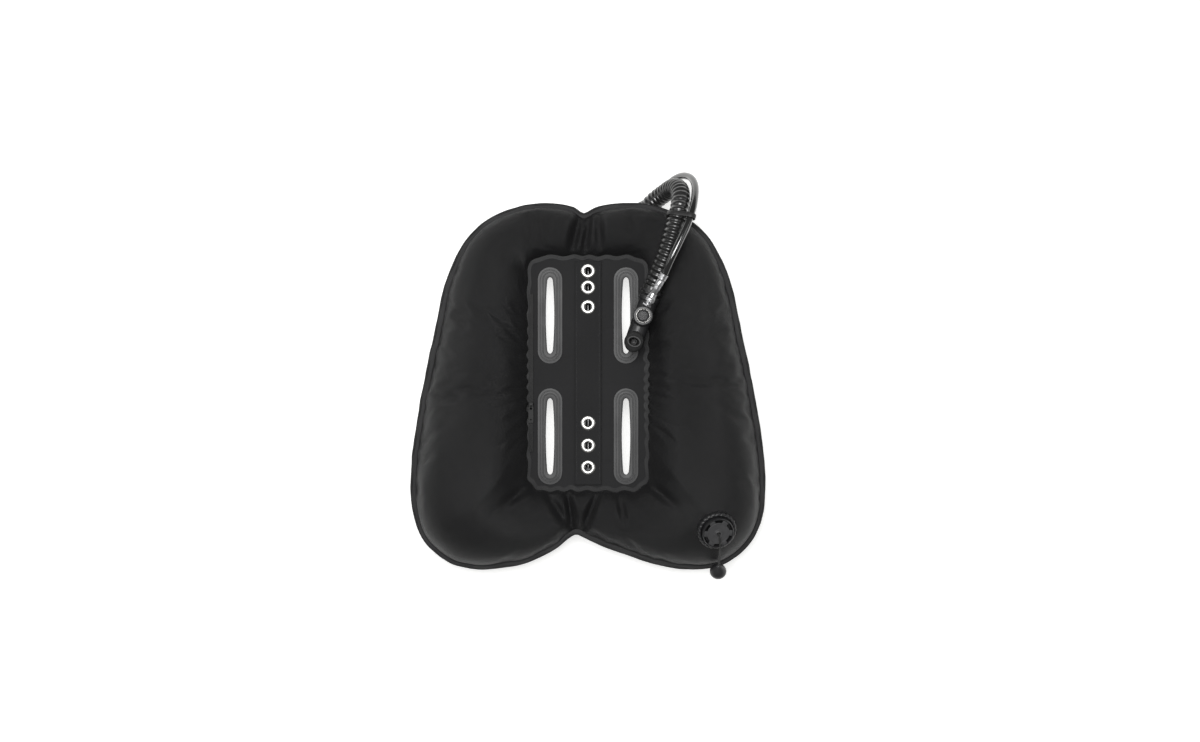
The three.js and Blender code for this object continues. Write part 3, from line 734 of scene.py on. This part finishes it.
skin = bmesh.new()
bmesh.ops.create_grid(skin, x_segments=AROUND, y_segments=2 * ACROSS, size=1.0)
thread_way = skin.loops.layers.uv.new("cloth")
grid_spot = {}
for v in skin.verts:
    i = round((v.co.x + 1) / 2 * AROUND)
    j = round((v.co.y + 1) / 2 * 2 * ACROSS)
    grid_spot[v] = (i, j)
for face in skin.faces:
    for loop in face.loops:
        i, j = grid_spot[loop.vert]
        loop[thread_way].uv = (i * 0.0053, j * 0.0065)
for v, (i, j) in grid_spot.items():
    side = 1 if j <= ACROSS else -1
    v.co = cell_point(i, j if j <= ACROSS else 2 * ACROSS - j, side)
    v.co = place(v.co.x, v.co.y) + UP * (seam_z + v.co.z * MM)
for v, (i, j) in grid_spot.items():
    if j == ACROSS:
        v.co.z = seam_z
bmesh.ops.remove_doubles(skin, verts=skin.verts, dist=1e-5)
bmesh.ops.recalc_face_normals(skin, faces=skin.faces)
print("cloth", len(skin.verts), "points")

# %% [markdown]
# ## Blow it up
# The seams are held and the cloth between them is let go: air pressure pushes out, and cloth
# that is 1.8 percent larger than the shape buckles along the seams. It runs for twenty-four
# steps and may move no point more than 9 mm, so the cell keeps its size. The folds at the
# notches are then pressed in again, towards the seam.

# %% Inflate
cell_mesh = bpy.data.meshes.new("cell")
skin.to_mesh(cell_mesh)
skin.free()
cell = bpy.data.objects.new("cell", cell_mesh)
scene.collection.objects.link(cell)
start = [v.co.copy() for v in cell_mesh.vertices]


def held(point):
    """How firmly a point is sewn: 1 on a seam, 0 away from it."""
    flat = (point - origin) / MM
    edge = min(abs(beyond_panel(flat.x, flat.y)), abs(point.z - seam_z) / MM + 1.5)
    return 1.0 if edge < 2.4 and abs(point.z - seam_z) < 0.0025 else 0.0


def inflate(obj, steps=24):
    sewn = obj.vertex_groups.new(name="sewn")
    sewn.add([v.index for v in obj.data.vertices if held(v.co)], 1.0, "REPLACE")
    cloth = obj.modifiers.new("air", "CLOTH").settings
    cloth.quality = 6
    cloth.mass = 0.25
    cloth.tension_stiffness = 30
    cloth.compression_stiffness = 12
    cloth.shear_stiffness = 8
    cloth.bending_stiffness = 0.6
    cloth.air_damping = 3
    cloth.use_pressure = True
    cloth.uniform_pressure_force = 3.5
    cloth.shrink_min = -0.018
    cloth.vertex_group_mass = "sewn"
    cloth.effector_weights.gravity = 0
    for step in range(1, steps + 1):
        scene.frame_set(step)
    settled = obj.evaluated_get(bpy.context.evaluated_depsgraph_get()).data
    moved = [v.co.copy() for v in settled.vertices]
    obj.modifiers.clear()
    obj.vertex_groups.clear()
    scene.frame_set(1)
    return moved


MOST_MOVE = 9.0  # millimetres that the simulation may move a point

for v, was, now in zip(cell_mesh.vertices, start, inflate(cell)):
    drift = now - was
    v.co = was + drift * min(1.0, MOST_MOVE * MM / max(drift.length, 1e-9))
for v in cell_mesh.vertices:
    front = v.co.z > seam_z
    creased = (0.9 if front else 0.3) * fold_depth(flat_of(v.co).xy) * (not held(v.co))
    v.co.z = max(0.0, v.co.z - math.copysign(min(creased * MM, abs(v.co.z - seam_z) * 0.6), v.co.z - seam_z))
print("largest move", round(max((v.co - w).length for v, w in zip(cell_mesh.vertices, start)) / MM, 1),
      "mm")

# %% [markdown]
# ## Two skins and their seams
# The settled cell is parted at its outer seam into a front and a back skin. The seam itself is
# piped: a cord in a folded tape is caught between the skins, with a flat margin beside it, and
# a row of stitches runs round each margin. The piping follows the settled seam.

# %% Ports and the bladder inside
valve_axis = joint_axis["dump_valve_pull"]
valve_at = place(179.8207, -218.7393, 115.4233)
elbow_at = place(60, 203, 38)
ports = [(valve_at, valve_axis, 0.021), (elbow_at, UP, 0.0125)]


def in_port(point):
    for at, axis, radius in ports:
        away = point - at
        if away.length < 0.03 and (away - axis * away.dot(axis)).length < radius:
            return True
    return False


def without_ports(bm):
    """Cut away the cloth where the valve and the elbow go through it."""
    gone = [f for f in bm.faces if in_port(f.calc_center_median())]
    bmesh.ops.delete(bm, geom=gone, context="FACES")
    return bm


def film():
    bm = bmesh.new()
    bm.from_mesh(cell_mesh)
    bm.normal_update()
    for v in bm.verts:
        v.co -= v.normal * 5 * MM
        v.co.z = max(v.co.z, 0.003)
    bmesh.ops.smooth_vert(bm, verts=bm.verts, factor=0.5, use_axis_x=True, use_axis_y=True, use_axis_z=True)
    return without_ports(bm)


finished("bladder_film", film(), bladder_film, replaces=("bladder",), crease=180, tidy=False)

# %% Part the skins
def skin_of(name, side, node):
    bm = bmesh.new()
    bm.from_mesh(cell_mesh)
    # A face belongs to the skin on whose side its middle lies.
    other = [f for f in bm.faces if (f.calc_center_median().z - seam_z) * side < 0]
    bmesh.ops.delete(bm, geom=other, context="FACES")
    made = finished(name, without_ports(bm), shell_nylon, replaces=(node,), crease=180, tidy=False)
    rounder = made.modifiers.new("rounder", "SUBSURF")
    rounder.levels = rounder.render_levels = 1
    return made


skin_of("shell_front_skin", 1, "shell_front")
skin_of("shell_back_skin", -1, "shell_back")
bpy.data.objects.remove(cell)

# %% Piping and its stitches
def beside_seam(i, out, height):
    """A point `out` millimetres outside the outer seam and `height` above it."""
    i %= AROUND
    outward = (cell_rim[i] - panel_rim[i]).normalized()
    p = cell_rim[i] + outward * (out + scallop(i))
    return place(p.x, p.y) + UP * (seam_z + height * MM)


cord_line = [beside_seam(i, 6.2, 0.4 * math.sin(i * 0.7)) for i in range(AROUND)]
piping_cord = drawn(stations(cord_line, closed=True, up=UP), round_section(2.1, 12), closed=True)
margin_section = [(-4.6 * MM, -1.9 * MM), (4.2 * MM, -1.3 * MM), (4.2 * MM, 1.3 * MM), (-4.6 * MM, 1.9 * MM)]
margin_line = [beside_seam(i, 1.6, 0.0) for i in range(AROUND)]
margin = drawn(stations(margin_line, closed=True, up=UP), margin_section, closed=True)
finished("edge_piping_tape", joined(piping_cord, margin), piping_nylon,
         replaces=("edge_piping",))


def stitches(name, line, pitch=3.4, length=2.5, thick=0.35, lift=0.0, body="cell"):
    """Short thread bars along a line, each a little bent bar of a few faces."""
    spaced = even(line, pitch * MM)
    whole = bmesh.new()
    for frame_here in stations(spaced, up=UP):
        bar = bmesh.ops.create_cone(whole, cap_ends=True, segments=5, radius1=thick * MM, radius2=thick * MM,
                                    depth=length * MM)["verts"]
        bmesh.ops.transform(whole, matrix=frame_here, verts=bar)
        bmesh.ops.translate(whole, vec=UP * lift * MM, verts=bar)
    return finished(name, whole, thread, body=body, tidy=False)


stitches("seam_stitches", [beside_seam(i, 1.2, 1.9) for i in range(AROUND + 1)])

# %% [markdown]
# ## Centre panel
# The panel is a cut sheet, sewn in all round and stiffened by its webbing strip and welded
# patches. It stays nearly flat, with faint ripples across it, a gather at the top where the
# lobes pull, and a wavy edge under the inner seam.

# %% Panel cloth
slot_boxes = {corner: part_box("slot_patch_" + corner) for corner in ("ul", "ur", "ll", "lr")}
PATCH_RIM = 11.5
grommet_middles = [middle(f"grommet_{i}") for i in range(1, 7)]


def panel_wave(x, y):
    """How far the panel's cloth stands from its plane, in millimetres."""
    creases = sum(-0.7 * math.exp(-((y - at) / 3.0) ** 2) for at in (21, -17, 62, -128))
    gather = 1.2 * math.sin(x / 3.6) * math.exp(-((PANEL_HEIGHT / 2 - y) / 16) ** 2) * math.exp(-(x
                                                                                                  / 34) ** 2)
    soft = 0.9 * noise.noise(Vector((x / 42, y / 60, 3.1)))
    near_strip = min(1.0, max(0.0, (abs(x) - 17) / 8))
    return (creases + soft) * near_strip * 0.7 + gather


def in_slot(x, y, extra):
    for low, high in slot_boxes.values():
        a, b = flat_of(low), flat_of(high)
        if a.x + PATCH_RIM - extra < x < b.x - PATCH_RIM + extra and \
                a.y + PATCH_RIM - extra < y < b.y - PATCH_RIM + extra:
            return True
    return any((Vector((x, y)) - flat_of(g).xy).length < 6.2 + extra for g in grommet_middles)


def panel_sheet():
    bm = bmesh.new()
    bmesh.ops.create_grid(bm, x_segments=86, y_segments=167, size=0.5)
    way = bm.loops.layers.uv.new("cloth")
    for v in bm.verts:
        v.co = Vector((v.co.x * PANEL_WIDTH, v.co.y * PANEL_HEIGHT, 0))
    for face in bm.faces:
        for loop in face.loops:
            loop[way].uv = loop.vert.co.xy * MM
    outside = []
    for face in bm.faces:
        at = face.calc_center_median()
        if beyond_panel(at.x, at.y) > 0.5 or in_slot(at.x, at.y, 1.5):
            outside.append(face)
    bmesh.ops.delete(bm, geom=outside, context="FACES")
    for v in bm.verts:
        v.co = place(v.co.x, v.co.y) + UP * (seam_z + panel_wave(v.co.x, v.co.y) * MM)
    return bm


panel = finished("centre_panel_cloth", panel_sheet(), panel_cloth, replaces=("centre_panel",),
                 crease=180, tidy=False)
thick = panel.modifiers.new("cloth thickness", "SOLIDIFY")
thick.thickness = 0.0016
thick.offset = 0

# %% Inner seam: a margin of shell cloth on the panel, gathered and stitched
def panel_seam(i, into, height):
    """A point `into` millimetres inside the panel's edge."""
    i %= AROUND
    outward = (cell_rim[i] - panel_rim[i]).normalized()
    p = panel_rim[i] + outward * (gather(i) - into)
    return place(p.x, p.y) + UP * (seam_z + height * MM)


def margin_band(side):
    section = [(-3.4 * MM, -0.5 * MM), (3.4 * MM, -0.5 * MM), (3.4 * MM, 0.5 * MM), (-3.4 * MM, 0.5 * MM)]
    line = [panel_seam(i, 2.4, side * (1.9 + 0.25 * math.sin(i * 0.9))) for i in range(AROUND)]
    return drawn(stations(line, closed=True, up=UP), section, closed=True)


finished("inner_seam_tape", joined(margin_band(1), margin_band(-1)), piping_nylon)
stitches("inner_stitches", [panel_seam(i, 3.2, 2.5) for i in range(AROUND + 1)])

# %% [markdown]
# ## Webbing, patches and grommets
# The strip down the middle is 38 mm webbing, sewn with a row along each edge, and it carries
# the grommets, so the plate's load never reaches the thin cloth. Each slot is framed by a
# welded urethane patch with stepped rings pressed into it. Both sides of the panel have one.

# %% Strip
strip_low, strip_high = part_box("centre_strip")


def strip_band():
    bm = bmesh.new()
    bmesh.ops.create_grid(bm, x_segments=24, y_segments=190, size=0.5)
    way = bm.loops.layers.uv.new("cloth")
    width = (strip_high.x - strip_low.x) / MM
    length = (strip_high.y - strip_low.y) / MM
    for v in bm.verts:
        v.co = Vector((v.co.x * width, v.co.y * length, 0))
    for face in bm.faces:
        for loop in face.loops:
            loop[way].uv = loop.vert.co.xy * MM
    middle_y = flat_of((strip_low + strip_high) / 2).y
    holes_in = [f for f in bm.faces if any(
        (f.calc_center_median().xy + Vector((0, middle_y)) - flat_of(g).xy).length < 7.5
        for g in grommet_middles)]
    bmesh.ops.delete(bm, geom=holes_in, context="FACES")
    for v in bm.verts:
        x, y = v.co.x, v.co.y + middle_y
        rim_dip = 0.35 * max(0.0, (abs(x) / (width / 2)) ** 8)
        sag = 0.25 * noise.noise(Vector((x / 30, y / 40, 8.0)))
        v.co = place(x, y) + UP * (strip_high.z - (0.9 + rim_dip - sag) * MM)
    return bm


strip = finished("centre_strip_webbing", strip_band(), webbing, replaces=("centre_strip",),
                 crease=180, tidy=False)
body = strip.modifiers.new("webbing thickness", "SOLIDIFY")
body.thickness = 0.0016
body.offset = 0
for side in (-1, 1):
    x = side * 16.0
    run = [place(x, y) + UP * (strip_high.z + 0.0001) for y in range(-150, 151, 5)]
    stitches(f"strip_stitches_{'left' if side < 0 else 'right'}", run)

# %% Patches
def stadium(half_width, half_length, lens=0.0, steps=14, side_steps=10):
    """The outline of a slot with round ends, in millimetres, drawn in at its ends by `lens`."""
    straight = half_length - half_width
    points = []
    for end in (1, -1):
        for k in range(steps + 1):
            a = math.pi * k / steps
            points.append((end * half_width * math.cos(a), end * (straight + half_width * math.sin(a))))
        for k in range(1, side_steps):
            points.append((-end * half_width, end * straight * (1 - 2 * k / side_steps)))
    return [(x * (1 - lens * (y / half_length) ** 2), y * (1 - lens * 0.12)) for x, y in points]


def slot_ring(at, half_width, half_length, flip=1):
    """A patch from its outer edge to the slot, with pressed steps. Heights are in millimetres."""
    steps = [(11.5, 0.0), (11.3, 0.55), (8.6, 0.7), (8.2, 0.35), (7.4, 0.35), (7.0, 0.8), (4.8, 0.95),
             (4.4, 0.55),
             (3.6, 0.55), (3.2, 1.0), (0.9, 1.05), (0.2, 0.7), (0.0, 0.0), (0.0, -1.6)]
    bm = bmesh.new()
    previous = None
    for margin_here, height in steps:
        loop = [bm.verts.new((at.x + x * MM, at.y + y * MM, at.z + flip * height * MM))
                for x, y in stadium(half_width + margin_here, half_length + margin_here,
                                    0.4 * max(0.0, 1 - margin_here / 3.4))]
        for k in range(len(loop)) if previous else ():
            bm.faces.new((previous[k - 1], previous[k], loop[k], loop[k - 1]))
        previous = loop
    return bm


for corner, (low, high) in slot_boxes.items():
    half_width = (high.x - low.x) / 2 / MM - PATCH_RIM
    half_length = (high.y - low.y) / 2 / MM - PATCH_RIM
    at = (low + high) / 2
    upper = slot_ring(Vector((at.x, at.y, low.z + 0.0002)), half_width, half_length)
    finished(f"slot_patch_{corner}_weld", upper, coated_patch,
             replaces=("slot_patch_" + corner,), crease=30)
    lower = slot_ring(Vector((at.x, at.y, 2 * seam_z - low.z - 0.0002)), half_width, half_length, -1)
    finished(f"slot_patch_{corner}_under", lower, coated_patch, crease=30)

# %% Grommets and washers
for i, at in enumerate(grommet_middles, 1):
    low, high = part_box(f"grommet_{i}")
    top, base = strip_high.z / MM + 1.0, low.z / MM
    outer = (high.x - low.x) / 2 / MM
    bore = 5.2
    profile = [(bore, base), (bore, top - 0.9), (bore + 0.5, top - 0.3), (bore + 1.4, top),
               (bore + 2.6, top - 0.05),
               (outer - 1.2, top - 0.3), (outer - 0.3, top - 0.7), (outer, top - 1.1),
               (outer - 0.4, top - 1.3),
               (bore + 1, top - 1.3), (bore + 0.9, base), (bore, base)]
    stand = Matrix.Translation(Vector((at.x, at.y, 0)))
    finished(f"grommet_{i}_ring", turned(profile, stand, 48), nickel, replaces=(f"grommet_{i}",),
             crease=30)
    low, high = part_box(f"grommet_washer_{i}")
    profile = ring_profile(bore + 1.3, outer, low.z / MM, high.z / MM, 0.3)
    finished(f"grommet_{i}_washer", turned(profile, stand, 48), nickel,
             replaces=(f"grommet_washer_{i}",), crease=30)

# %% [markdown]
# ## Zip
# The bladder goes in through a zip hidden in the left inner seam. Its coil is a line of small
# moulded teeth on a tape; the slider and its pull are black lacquered metal.

# %% Zip
zip_low, zip_high = (flat_of(corner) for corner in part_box("zip_chain"))
zip_x = (zip_low.x + zip_high.x) / 2
teeth = [block((-3.1, zip_low.y, 0), (3.1, zip_high.y, 0.5), 0.2,
               Matrix.Translation(place(zip_x, 0, zip_low.z)))]
tooth_at = zip_low.y + 1.0
while tooth_at < zip_high.y - 1:
    for hand in (-1, 1):
        stand = Matrix.Translation(place(zip_x, tooth_at + 0.65 * hand, zip_low.z + 0.95))
        teeth.append(block((min(0, 2.1 * hand), -0.45, -0.5), (max(0, 2.1 * hand), 0.45, 0.55), 0.18, stand))
    tooth_at += 2.6
finished("zip_teeth", joined(*teeth), zip_coil, replaces=("zip_chain",), crease=30)

slider_low, slider_high = (flat_of(corner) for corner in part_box("zip_slider"))
slider_y = (slider_low.y + slider_high.y) / 2
slider_at = Matrix.Translation(place(zip_x, slider_y, slider_low.z))
arch = [offset_by(0, y, z) for y,
        z in ((-4, 1.2), (-3.8, 3.2), (-2.4, 4.6), (-0.6, 4.7), (0.8, 3.6), (1.2, 1.2))]
bridge = drawn([slider_at @ a @ Matrix.Rotation(math.radians(90 - i * 36), 4, "X") for i,
                a in enumerate(arch)],
               [(-1.2 * MM, -0.45 * MM), (1.2 * MM, -0.45 * MM), (1.2 * MM, 0.45 * MM),
                (-1.2 * MM, 0.45 * MM)])
plate = block((-4, -6, 0), (4, 6, 1.6), 0.7, slider_at)
finished("zip_slider_body", joined(plate, bridge), black_metal, body="zip_runner",
         replaces=("zip_slider",), crease=35)

# %% [markdown]
# ## Dump valve
# A moulded base sits inside the cell and clamps the cloth against a knurled ring. The cap
# screws on, with six windows that let the air out, and the cord lifts the poppet inside.

# %% Dump valve
valve_stand = Matrix.Translation(valve_at) @ UP.rotation_difference(valve_axis).to_matrix().to_4x4()


def around(bm, stand, change):
    """Move each point of a turned shape to the radius that change(radius, angle, height) gives."""
    back = stand.inverted()
    for v in bm.verts:
        q = (back @ v.co) / MM
        r, a = math.hypot(q.x, q.y), math.atan2(q.y, q.x)
        wanted = change(r, a, q.z)
        v.co = stand @ (Vector((wanted * math.cos(a), wanted * math.sin(a), q.z)) * MM)
    return bm


ring_shape = [(22.9, -1.5), (27.2, -1.5), (27.9, -0.6), (27.9, 4.6), (27.0, 6.6), (25.2, 7.5), (23.4, 7.2),
              (22.9, 6.4),
              (22.9, -1.5)]


def beads(r, a, z):
    return r if r < 25 else r - 1.3 * (0.5 - 0.5 * math.cos(a * 24)) ** 3


beaded = around(turned(ring_shape, valve_stand, 240), valve_stand, beads)
finished("dump_ring_beaded", beaded, black_plastic, replaces=("dump_ring",), crease=50)
rim_shape = [(20.2, 0.5), (22.0, 0.5), (22.4, 1.2), (22.4, 12.6), (22.1, 13.8), (21.6, 14.4), (20.9, 14.5),
             (20.4, 14.0),
             (20.1, 13.2), (20.2, 11.0), (20.2, 0.5)]
bars = [block((14.8, -4.2, 11.9), (20.4, 4.2, 13.9), 0.6,
              valve_stand @ Matrix.Rotation(math.radians(60 * k), 4, "Z"))
        for k in range(6)]
finished("dump_cap_rim", turned(rim_shape, valve_stand, 96), black_plastic, crease=30)
disc_shape = [(2.6, 11.9), (15.6, 11.9), (16.0, 12.4), (16.0, 13.7), (15.4, 14.3), (14.4, 14.3),
              (14.1, 14.05),
              (6.6, 14.05), (6.2, 14.5), (5.2, 14.7), (4.9, 16.2), (4.3, 16.6), (3.2, 16.6), (2.6, 16.0),
              (2.6, 11.9)]
finished("dump_cap_disc", joined(turned(disc_shape, valve_stand, 96), *bars), grey_plastic,
         replaces=("dump_cap",),
         crease=30)
base_shape = [(14, -10), (20, -10), (20, -4), (27.4, -4), (27.4, -1.8), (19.3, -1.8), (19.3, 9), (16.8, 9),
              (16.8, -6),
              (14, -6), (14, -10)]
finished("dump_base_cup", turned(base_shape, valve_stand, 72), black_plastic,
         replaces=("dump_base",),
         crease=30)
poppet_shape = [(0, -4.3), (15.4, -4.3), (15.8, -3.9), (15.8, -3), (15.2, -2.6), (2.4, -2.6), (2, -2.2),
                (2, 8.6), (0, 9)]
finished("dump_poppet_disc", turned(poppet_shape, valve_stand, 64), black_plastic,
         body="dump_pull",
         replaces=("dump_poppet",), crease=30)

# %% Knob
knob_stand = stations(pull_path)[-1]
knob_shape = [(0, -0.2), (2.6, 0.2), (3.3, 0.9), (3.3, 2.0), (2.8, 2.5), (3.4, 3.1), (4.8, 4.6), (7.2, 7.4),
              (9.6, 10.4),
              (11.3, 13.6), (11.8, 16.0), (11.5, 18.6), (10.1, 21.6), (7.6, 24.0), (4.2, 25.2), (0, 25.5)]
finished("dump_knob_drop", turned(knob_shape, knob_stand, 56), black_plastic,
         body="dump_pull",
         replaces=("dump_knob",), crease=50)

# %% [markdown]
# ## Inflator
# The body is one moulding: a tube with a head for the inflate button, a chamber for the
# mouthpiece, and a barb that the hose is tied on. Its shapes are run together by remeshing
# them as one skin and smoothing it, which leaves the small fillets that a mould leaves, and
# then its bores are drilled.

# %% Inflator body
head = Matrix.Translation(place(77, 80, 106)) @ Matrix.Rotation(math.atan2(0.944, 0.33), 4, "Z")
mouth = head @ offset_by(-38, 0, 0)
nipple = head @ offset_by(0, 2.5, 18.5) @ Matrix.Rotation(-0.176, 4, "Z") @ Matrix.Rotation(-0.21, 4,
                                                                                            "Y") @ LAY


def temporary(bm):
    mesh = bpy.data.meshes.new("temporary")
    bmesh.ops.recalc_face_normals(bm, faces=bm.faces)
    bm.to_mesh(mesh)
    bm.free()
    obj = bpy.data.objects.new("temporary", mesh)
    scene.collection.objects.link(obj)
    return obj


def moulding(shape, bores, voxel=0.7):
    """One smooth moulded skin from overlapping shapes, with its bores cut out."""
    obj = temporary(shape)
    fuse = obj.modifiers.new("fuse", "REMESH")
    fuse.mode = "VOXEL"
    fuse.voxel_size = voxel * MM
    ease = obj.modifiers.new("ease", "SMOOTH")
    ease.factor = 0.5
    ease.iterations = 5
    cutters = [temporary(bore) for bore in bores]
    for cutter in cutters:
        drill = obj.modifiers.new("drill", "BOOLEAN")
        drill.operation = "DIFFERENCE"
        drill.solver = "EXACT"
        drill.object = cutter
    made = bmesh.new()
    made.from_object(obj, bpy.context.evaluated_depsgraph_get())
    for spare in [obj, *cutters]:
        bpy.data.objects.remove(spare)
    return made


inflator_shape = joined(
    turned(plug(13, -38, 30), head @ LAY), turned(plug(14, 2, 27.8, 1.2), head),
    turned(plug(14.5, 22, 30), head @ LAY),
    turned(plug(13.5, -15, 13, 1.2), mouth), turned(plug(8.8, 27, 42), head @ LAY),
    turned(plug(5.5, 6, 15.4, 0.5), nipple))
inflator_bores = [
    turned(plug(8.2, 17, 31, 0.1), head, 48), turned(plug(9, -16.5, -1, 0.1), mouth, 48),
    turned(plug(7, -2, 14.5, 0.1), mouth, 48), turned(plug(7.5, -34, 50, 0.1), head @ LAY, 48)]
finished("inflator_moulding", moulding(inflator_shape, inflator_bores), black_plastic,
         replaces=("inflator_body",), crease=35)

# %% Buttons, bezel and tie
button_shape = [(0, 20), (7.2, 20), (7.4, 20.2), (7.4, 28.8), (7.0, 29.8), (6.2, 30.0), (5.8, 29.2),
                (5.2, 29.2),
                (4.8, 29.9), (4.2, 29.9), (3.8, 29.1), (3.2, 29.1), (2.8, 29.8), (2.2, 29.8), (1.8, 29.0),
                (1.0, 29.0),
                (0.6, 29.5), (0, 29.6)]
stem = turned(plug(1.5, 14, 20.5, 0.2), head, 24)
finished("inflate_button_cap", joined(turned(button_shape, head, 56), stem), black_plastic,
         body="inflate_plunger", replaces=("inflate_button",), crease=30)
finished("button_bezel_ring", turned(ring_profile(8.6, 10.1, 27.6, 29.6, 0.6), head, 64), nickel,
         replaces=("button_bezel",), crease=50)
press_shape = [(0, -19), (6.6, -19), (7.6, -18.6), (8.5, -17.4), (8.5, -12.7), (8.2, -12.4), (2, -12.4),
               (2, -8), (0, -8)]
finished("deflate_button_cap", turned(press_shape, mouth, 56), grey_plastic,
         body="deflate_plunger",
         replaces=("deflate_button",), crease=30)
tie = turned(ring_profile(14.2, 15.5, 34, 38, 0.4), head @ LAY, 56)
lock = block((33.6, -3, 14.6), (38.4, 3, 18), 0.6, head)
finished("inflator_tie_band", joined(tie, lock), black_plastic, replaces=("inflator_tie",),
         crease=30)

# %% Mouthpiece
mouth_shape = [(4.2, 8.2), (6.4, 8.2), (6.6, 9), (6.6, 13.6), (8.2, 14.0), (12.6, 14.0), (14.4, 14.8),
               (15, 16.4),
               (14.8, 18.6), (13.4, 20.6), (11.0, 21.8), (8.8, 22.8), (7.4, 24.0), (5.8, 24.0), (4.6, 22.8),
               (4.2, 20.4),
               (4.2, 8.2)]
lips = turned(mouth_shape, mouth, 64)
for v in lips.verts:
    q = (mouth.inverted() @ v.co) / MM
    r = math.hypot(q.x, q.y)
    if q.z > 13.8:
        share = min(1.0, max(0.0, (r - 4.2) / 10.8))
        q.y *= 1.45 * (1 - share) + 0.87 * share
    v.co = mouth @ (q * MM)
finished("mouthpiece_lips", lips, soft_rubber, replaces=("mouthpiece",), crease=40)

# %% Quick disconnect
def knurl(r, a, z):
    if r < 6.2 or not 23.4 < z < 28.8:
        return r
    return r - 0.12 * (1 + math.cos(a * 24 + z * 2.2)) - 0.1 * (1 + math.cos(a * 24 - z * 2.2))


hex_nut = turned(plug(6.9, 15.8, 18.4, 0.3), nipple, 6)
stem = turned([(0, 18.2), (3.2, 18.2), (3.2, 22), (2.7, 22.6), (2.7, 24), (3.2, 24.6), (3.2, 29.4), (2.6, 30),
               (0, 30)],
              nipple, 40)
finished("qd_nipple_stem", joined(hex_nut, stem), chrome, replaces=("qd_nipple",), crease=30)
body_shape = [(0, 34), (3.6, 34), (3.6, 20), (4.4, 20), (4.8, 20.5), (4.8, 41.4), (5.2, 42.2), (5.2, 43.2),
              (5.6, 43.8),
              (5.6, 48.2), (5.2, 48.7), (5.2, 49.5), (5.6, 50), (5.6, 55.6), (5.1, 56.6), (4.6, 57.6),
              (0, 57.6)]
finished("qd_body_turned", turned(body_shape, nipple, 56), chrome, replaces=("qd_body",), crease=30)
sleeve_shape = [(5.2, 22), (5.9, 22), (6.2, 22.3),
                (6.8, 23.2)] + [(6.8, 23.2 + 0.3 * k) for k in range(1, 20)] + [
    (6.3, 29.6), (5.8, 30.6), (5.8, 35.2), (5.6, 36), (5.2, 36), (5.2, 22)]
finished("qd_sleeve", around(turned(sleeve_shape, nipple, 150), nipple, knurl), chrome,
         body="qd_release",
         replaces=("qd_collar",), crease=40)
ferrule_shape = [(5.7, 58.2), (6.2, 58.2), (6.5, 58.6), (6.5, 60), (6.1, 60.4), (6.1, 61), (6.5, 61.4),
                 (6.5, 63.4),
                 (6.1, 63.8), (6.1, 64.4), (6.5, 64.8), (6.5, 66.6), (6.2, 67), (5.7, 67), (5.7, 58.2)]
finished("qd_ferrule_crimped", turned(ferrule_shape, nipple, 48), chrome, replaces=("qd_ferrule",),
         crease=30)

# %% [markdown]
# ## Springs
# Three coil springs hold the valves shut: one under each button and one behind the poppet.
# Each shortens as its valve is worked, towards the end that stays still.

# %% Springs
def coil(node, stand, radius, wire, low, high, turns_of_wire, still_end):
    """A coil spring wound round the stand from `low` to `high`, in millimetres."""
    count = turns_of_wire * 24
    path = []
    for k in range(count + 1):
        a = math.tau * k / 24
        path.append(stand @ (Vector((radius * math.cos(a), radius * math.sin(a),
                                     low + (high - low) * k / count)) * MM))
    made = finished(node + "_coil", drawn(stations(path), round_section(wire / 2, 10)), spring_steel,
                    replaces=(node,), crease=60)
    tuple(stand @ (Vector((0, 0, still_end)) * MM))
    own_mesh(made)


coil("inflate_spring", head, 2.9, 0.8, 11.9, 19.2, 4, 11.5)
coil("deflate_spring", mouth, 8.0, 0.9, -10.1, -1.8, 3, -1.35)
coil("dump_spring", valve_stand, 7.0, 1.3, -1.8, 10.9, 4, 11.55)

# %% Hose clip
def nearest(path, target):
    i = min(range(1, len(path) - 1), key=lambda k: (path[k] - target).length)
    return path[i], (path[i + 1] - path[i - 1]).normalized()


hose_mid, clip_way = nearest(hose_path, place(126, 219, 124))
lp_mid, _ = nearest(lp_path, place(142, 219, 137))
apart = (lp_mid - hose_mid).length / MM
sideways = lp_mid - hose_mid
sideways = (sideways - clip_way * sideways.dot(clip_way)).normalized()
clip_stand = Matrix((sideways, clip_way.cross(sideways), clip_way)).transposed().to_4x4()
clip_stand.translation = hose_mid
big, small = 14.9, 6.9
lean = math.acos((big - small) / apart)
belt = []
for k in range(33):
    a = lean + (math.tau - 2 * lean) * k / 32
    belt.append((big * math.cos(a), big * math.sin(a)))
for k in range(17):
    a = -lean + 2 * lean * k / 16
    belt.append((apart + small * math.cos(a), small * math.sin(a)))
belt_line = even([clip_stand @ Vector((x * MM, y * MM, 0)) for x, y in belt + belt[:1]], 1.6 * MM)[:-1]
band_section = [(-0.7, -3.0), (0.5, -3.3), (0.8, -2.6), (0.8, 2.6), (0.5, 3.3), (-0.7, 3.0)]
band = drawn(stations(belt_line, closed=True, up=clip_way), [(x * MM, y * MM) for x, y in band_section],
             closed=True)
waist = (big + small) / 2 * 0.55
stud = turned(plug(2.8, -waist - 1, waist + 1, 0.6),
              clip_stand @ offset_by(apart * 0.62, 0, 0) @ Matrix.Rotation(math.pi / 2, 4, "X"), 32)
finished("hose_clip_band", joined(band, stud), soft_rubber, replaces=("hose_clip",), crease=40)
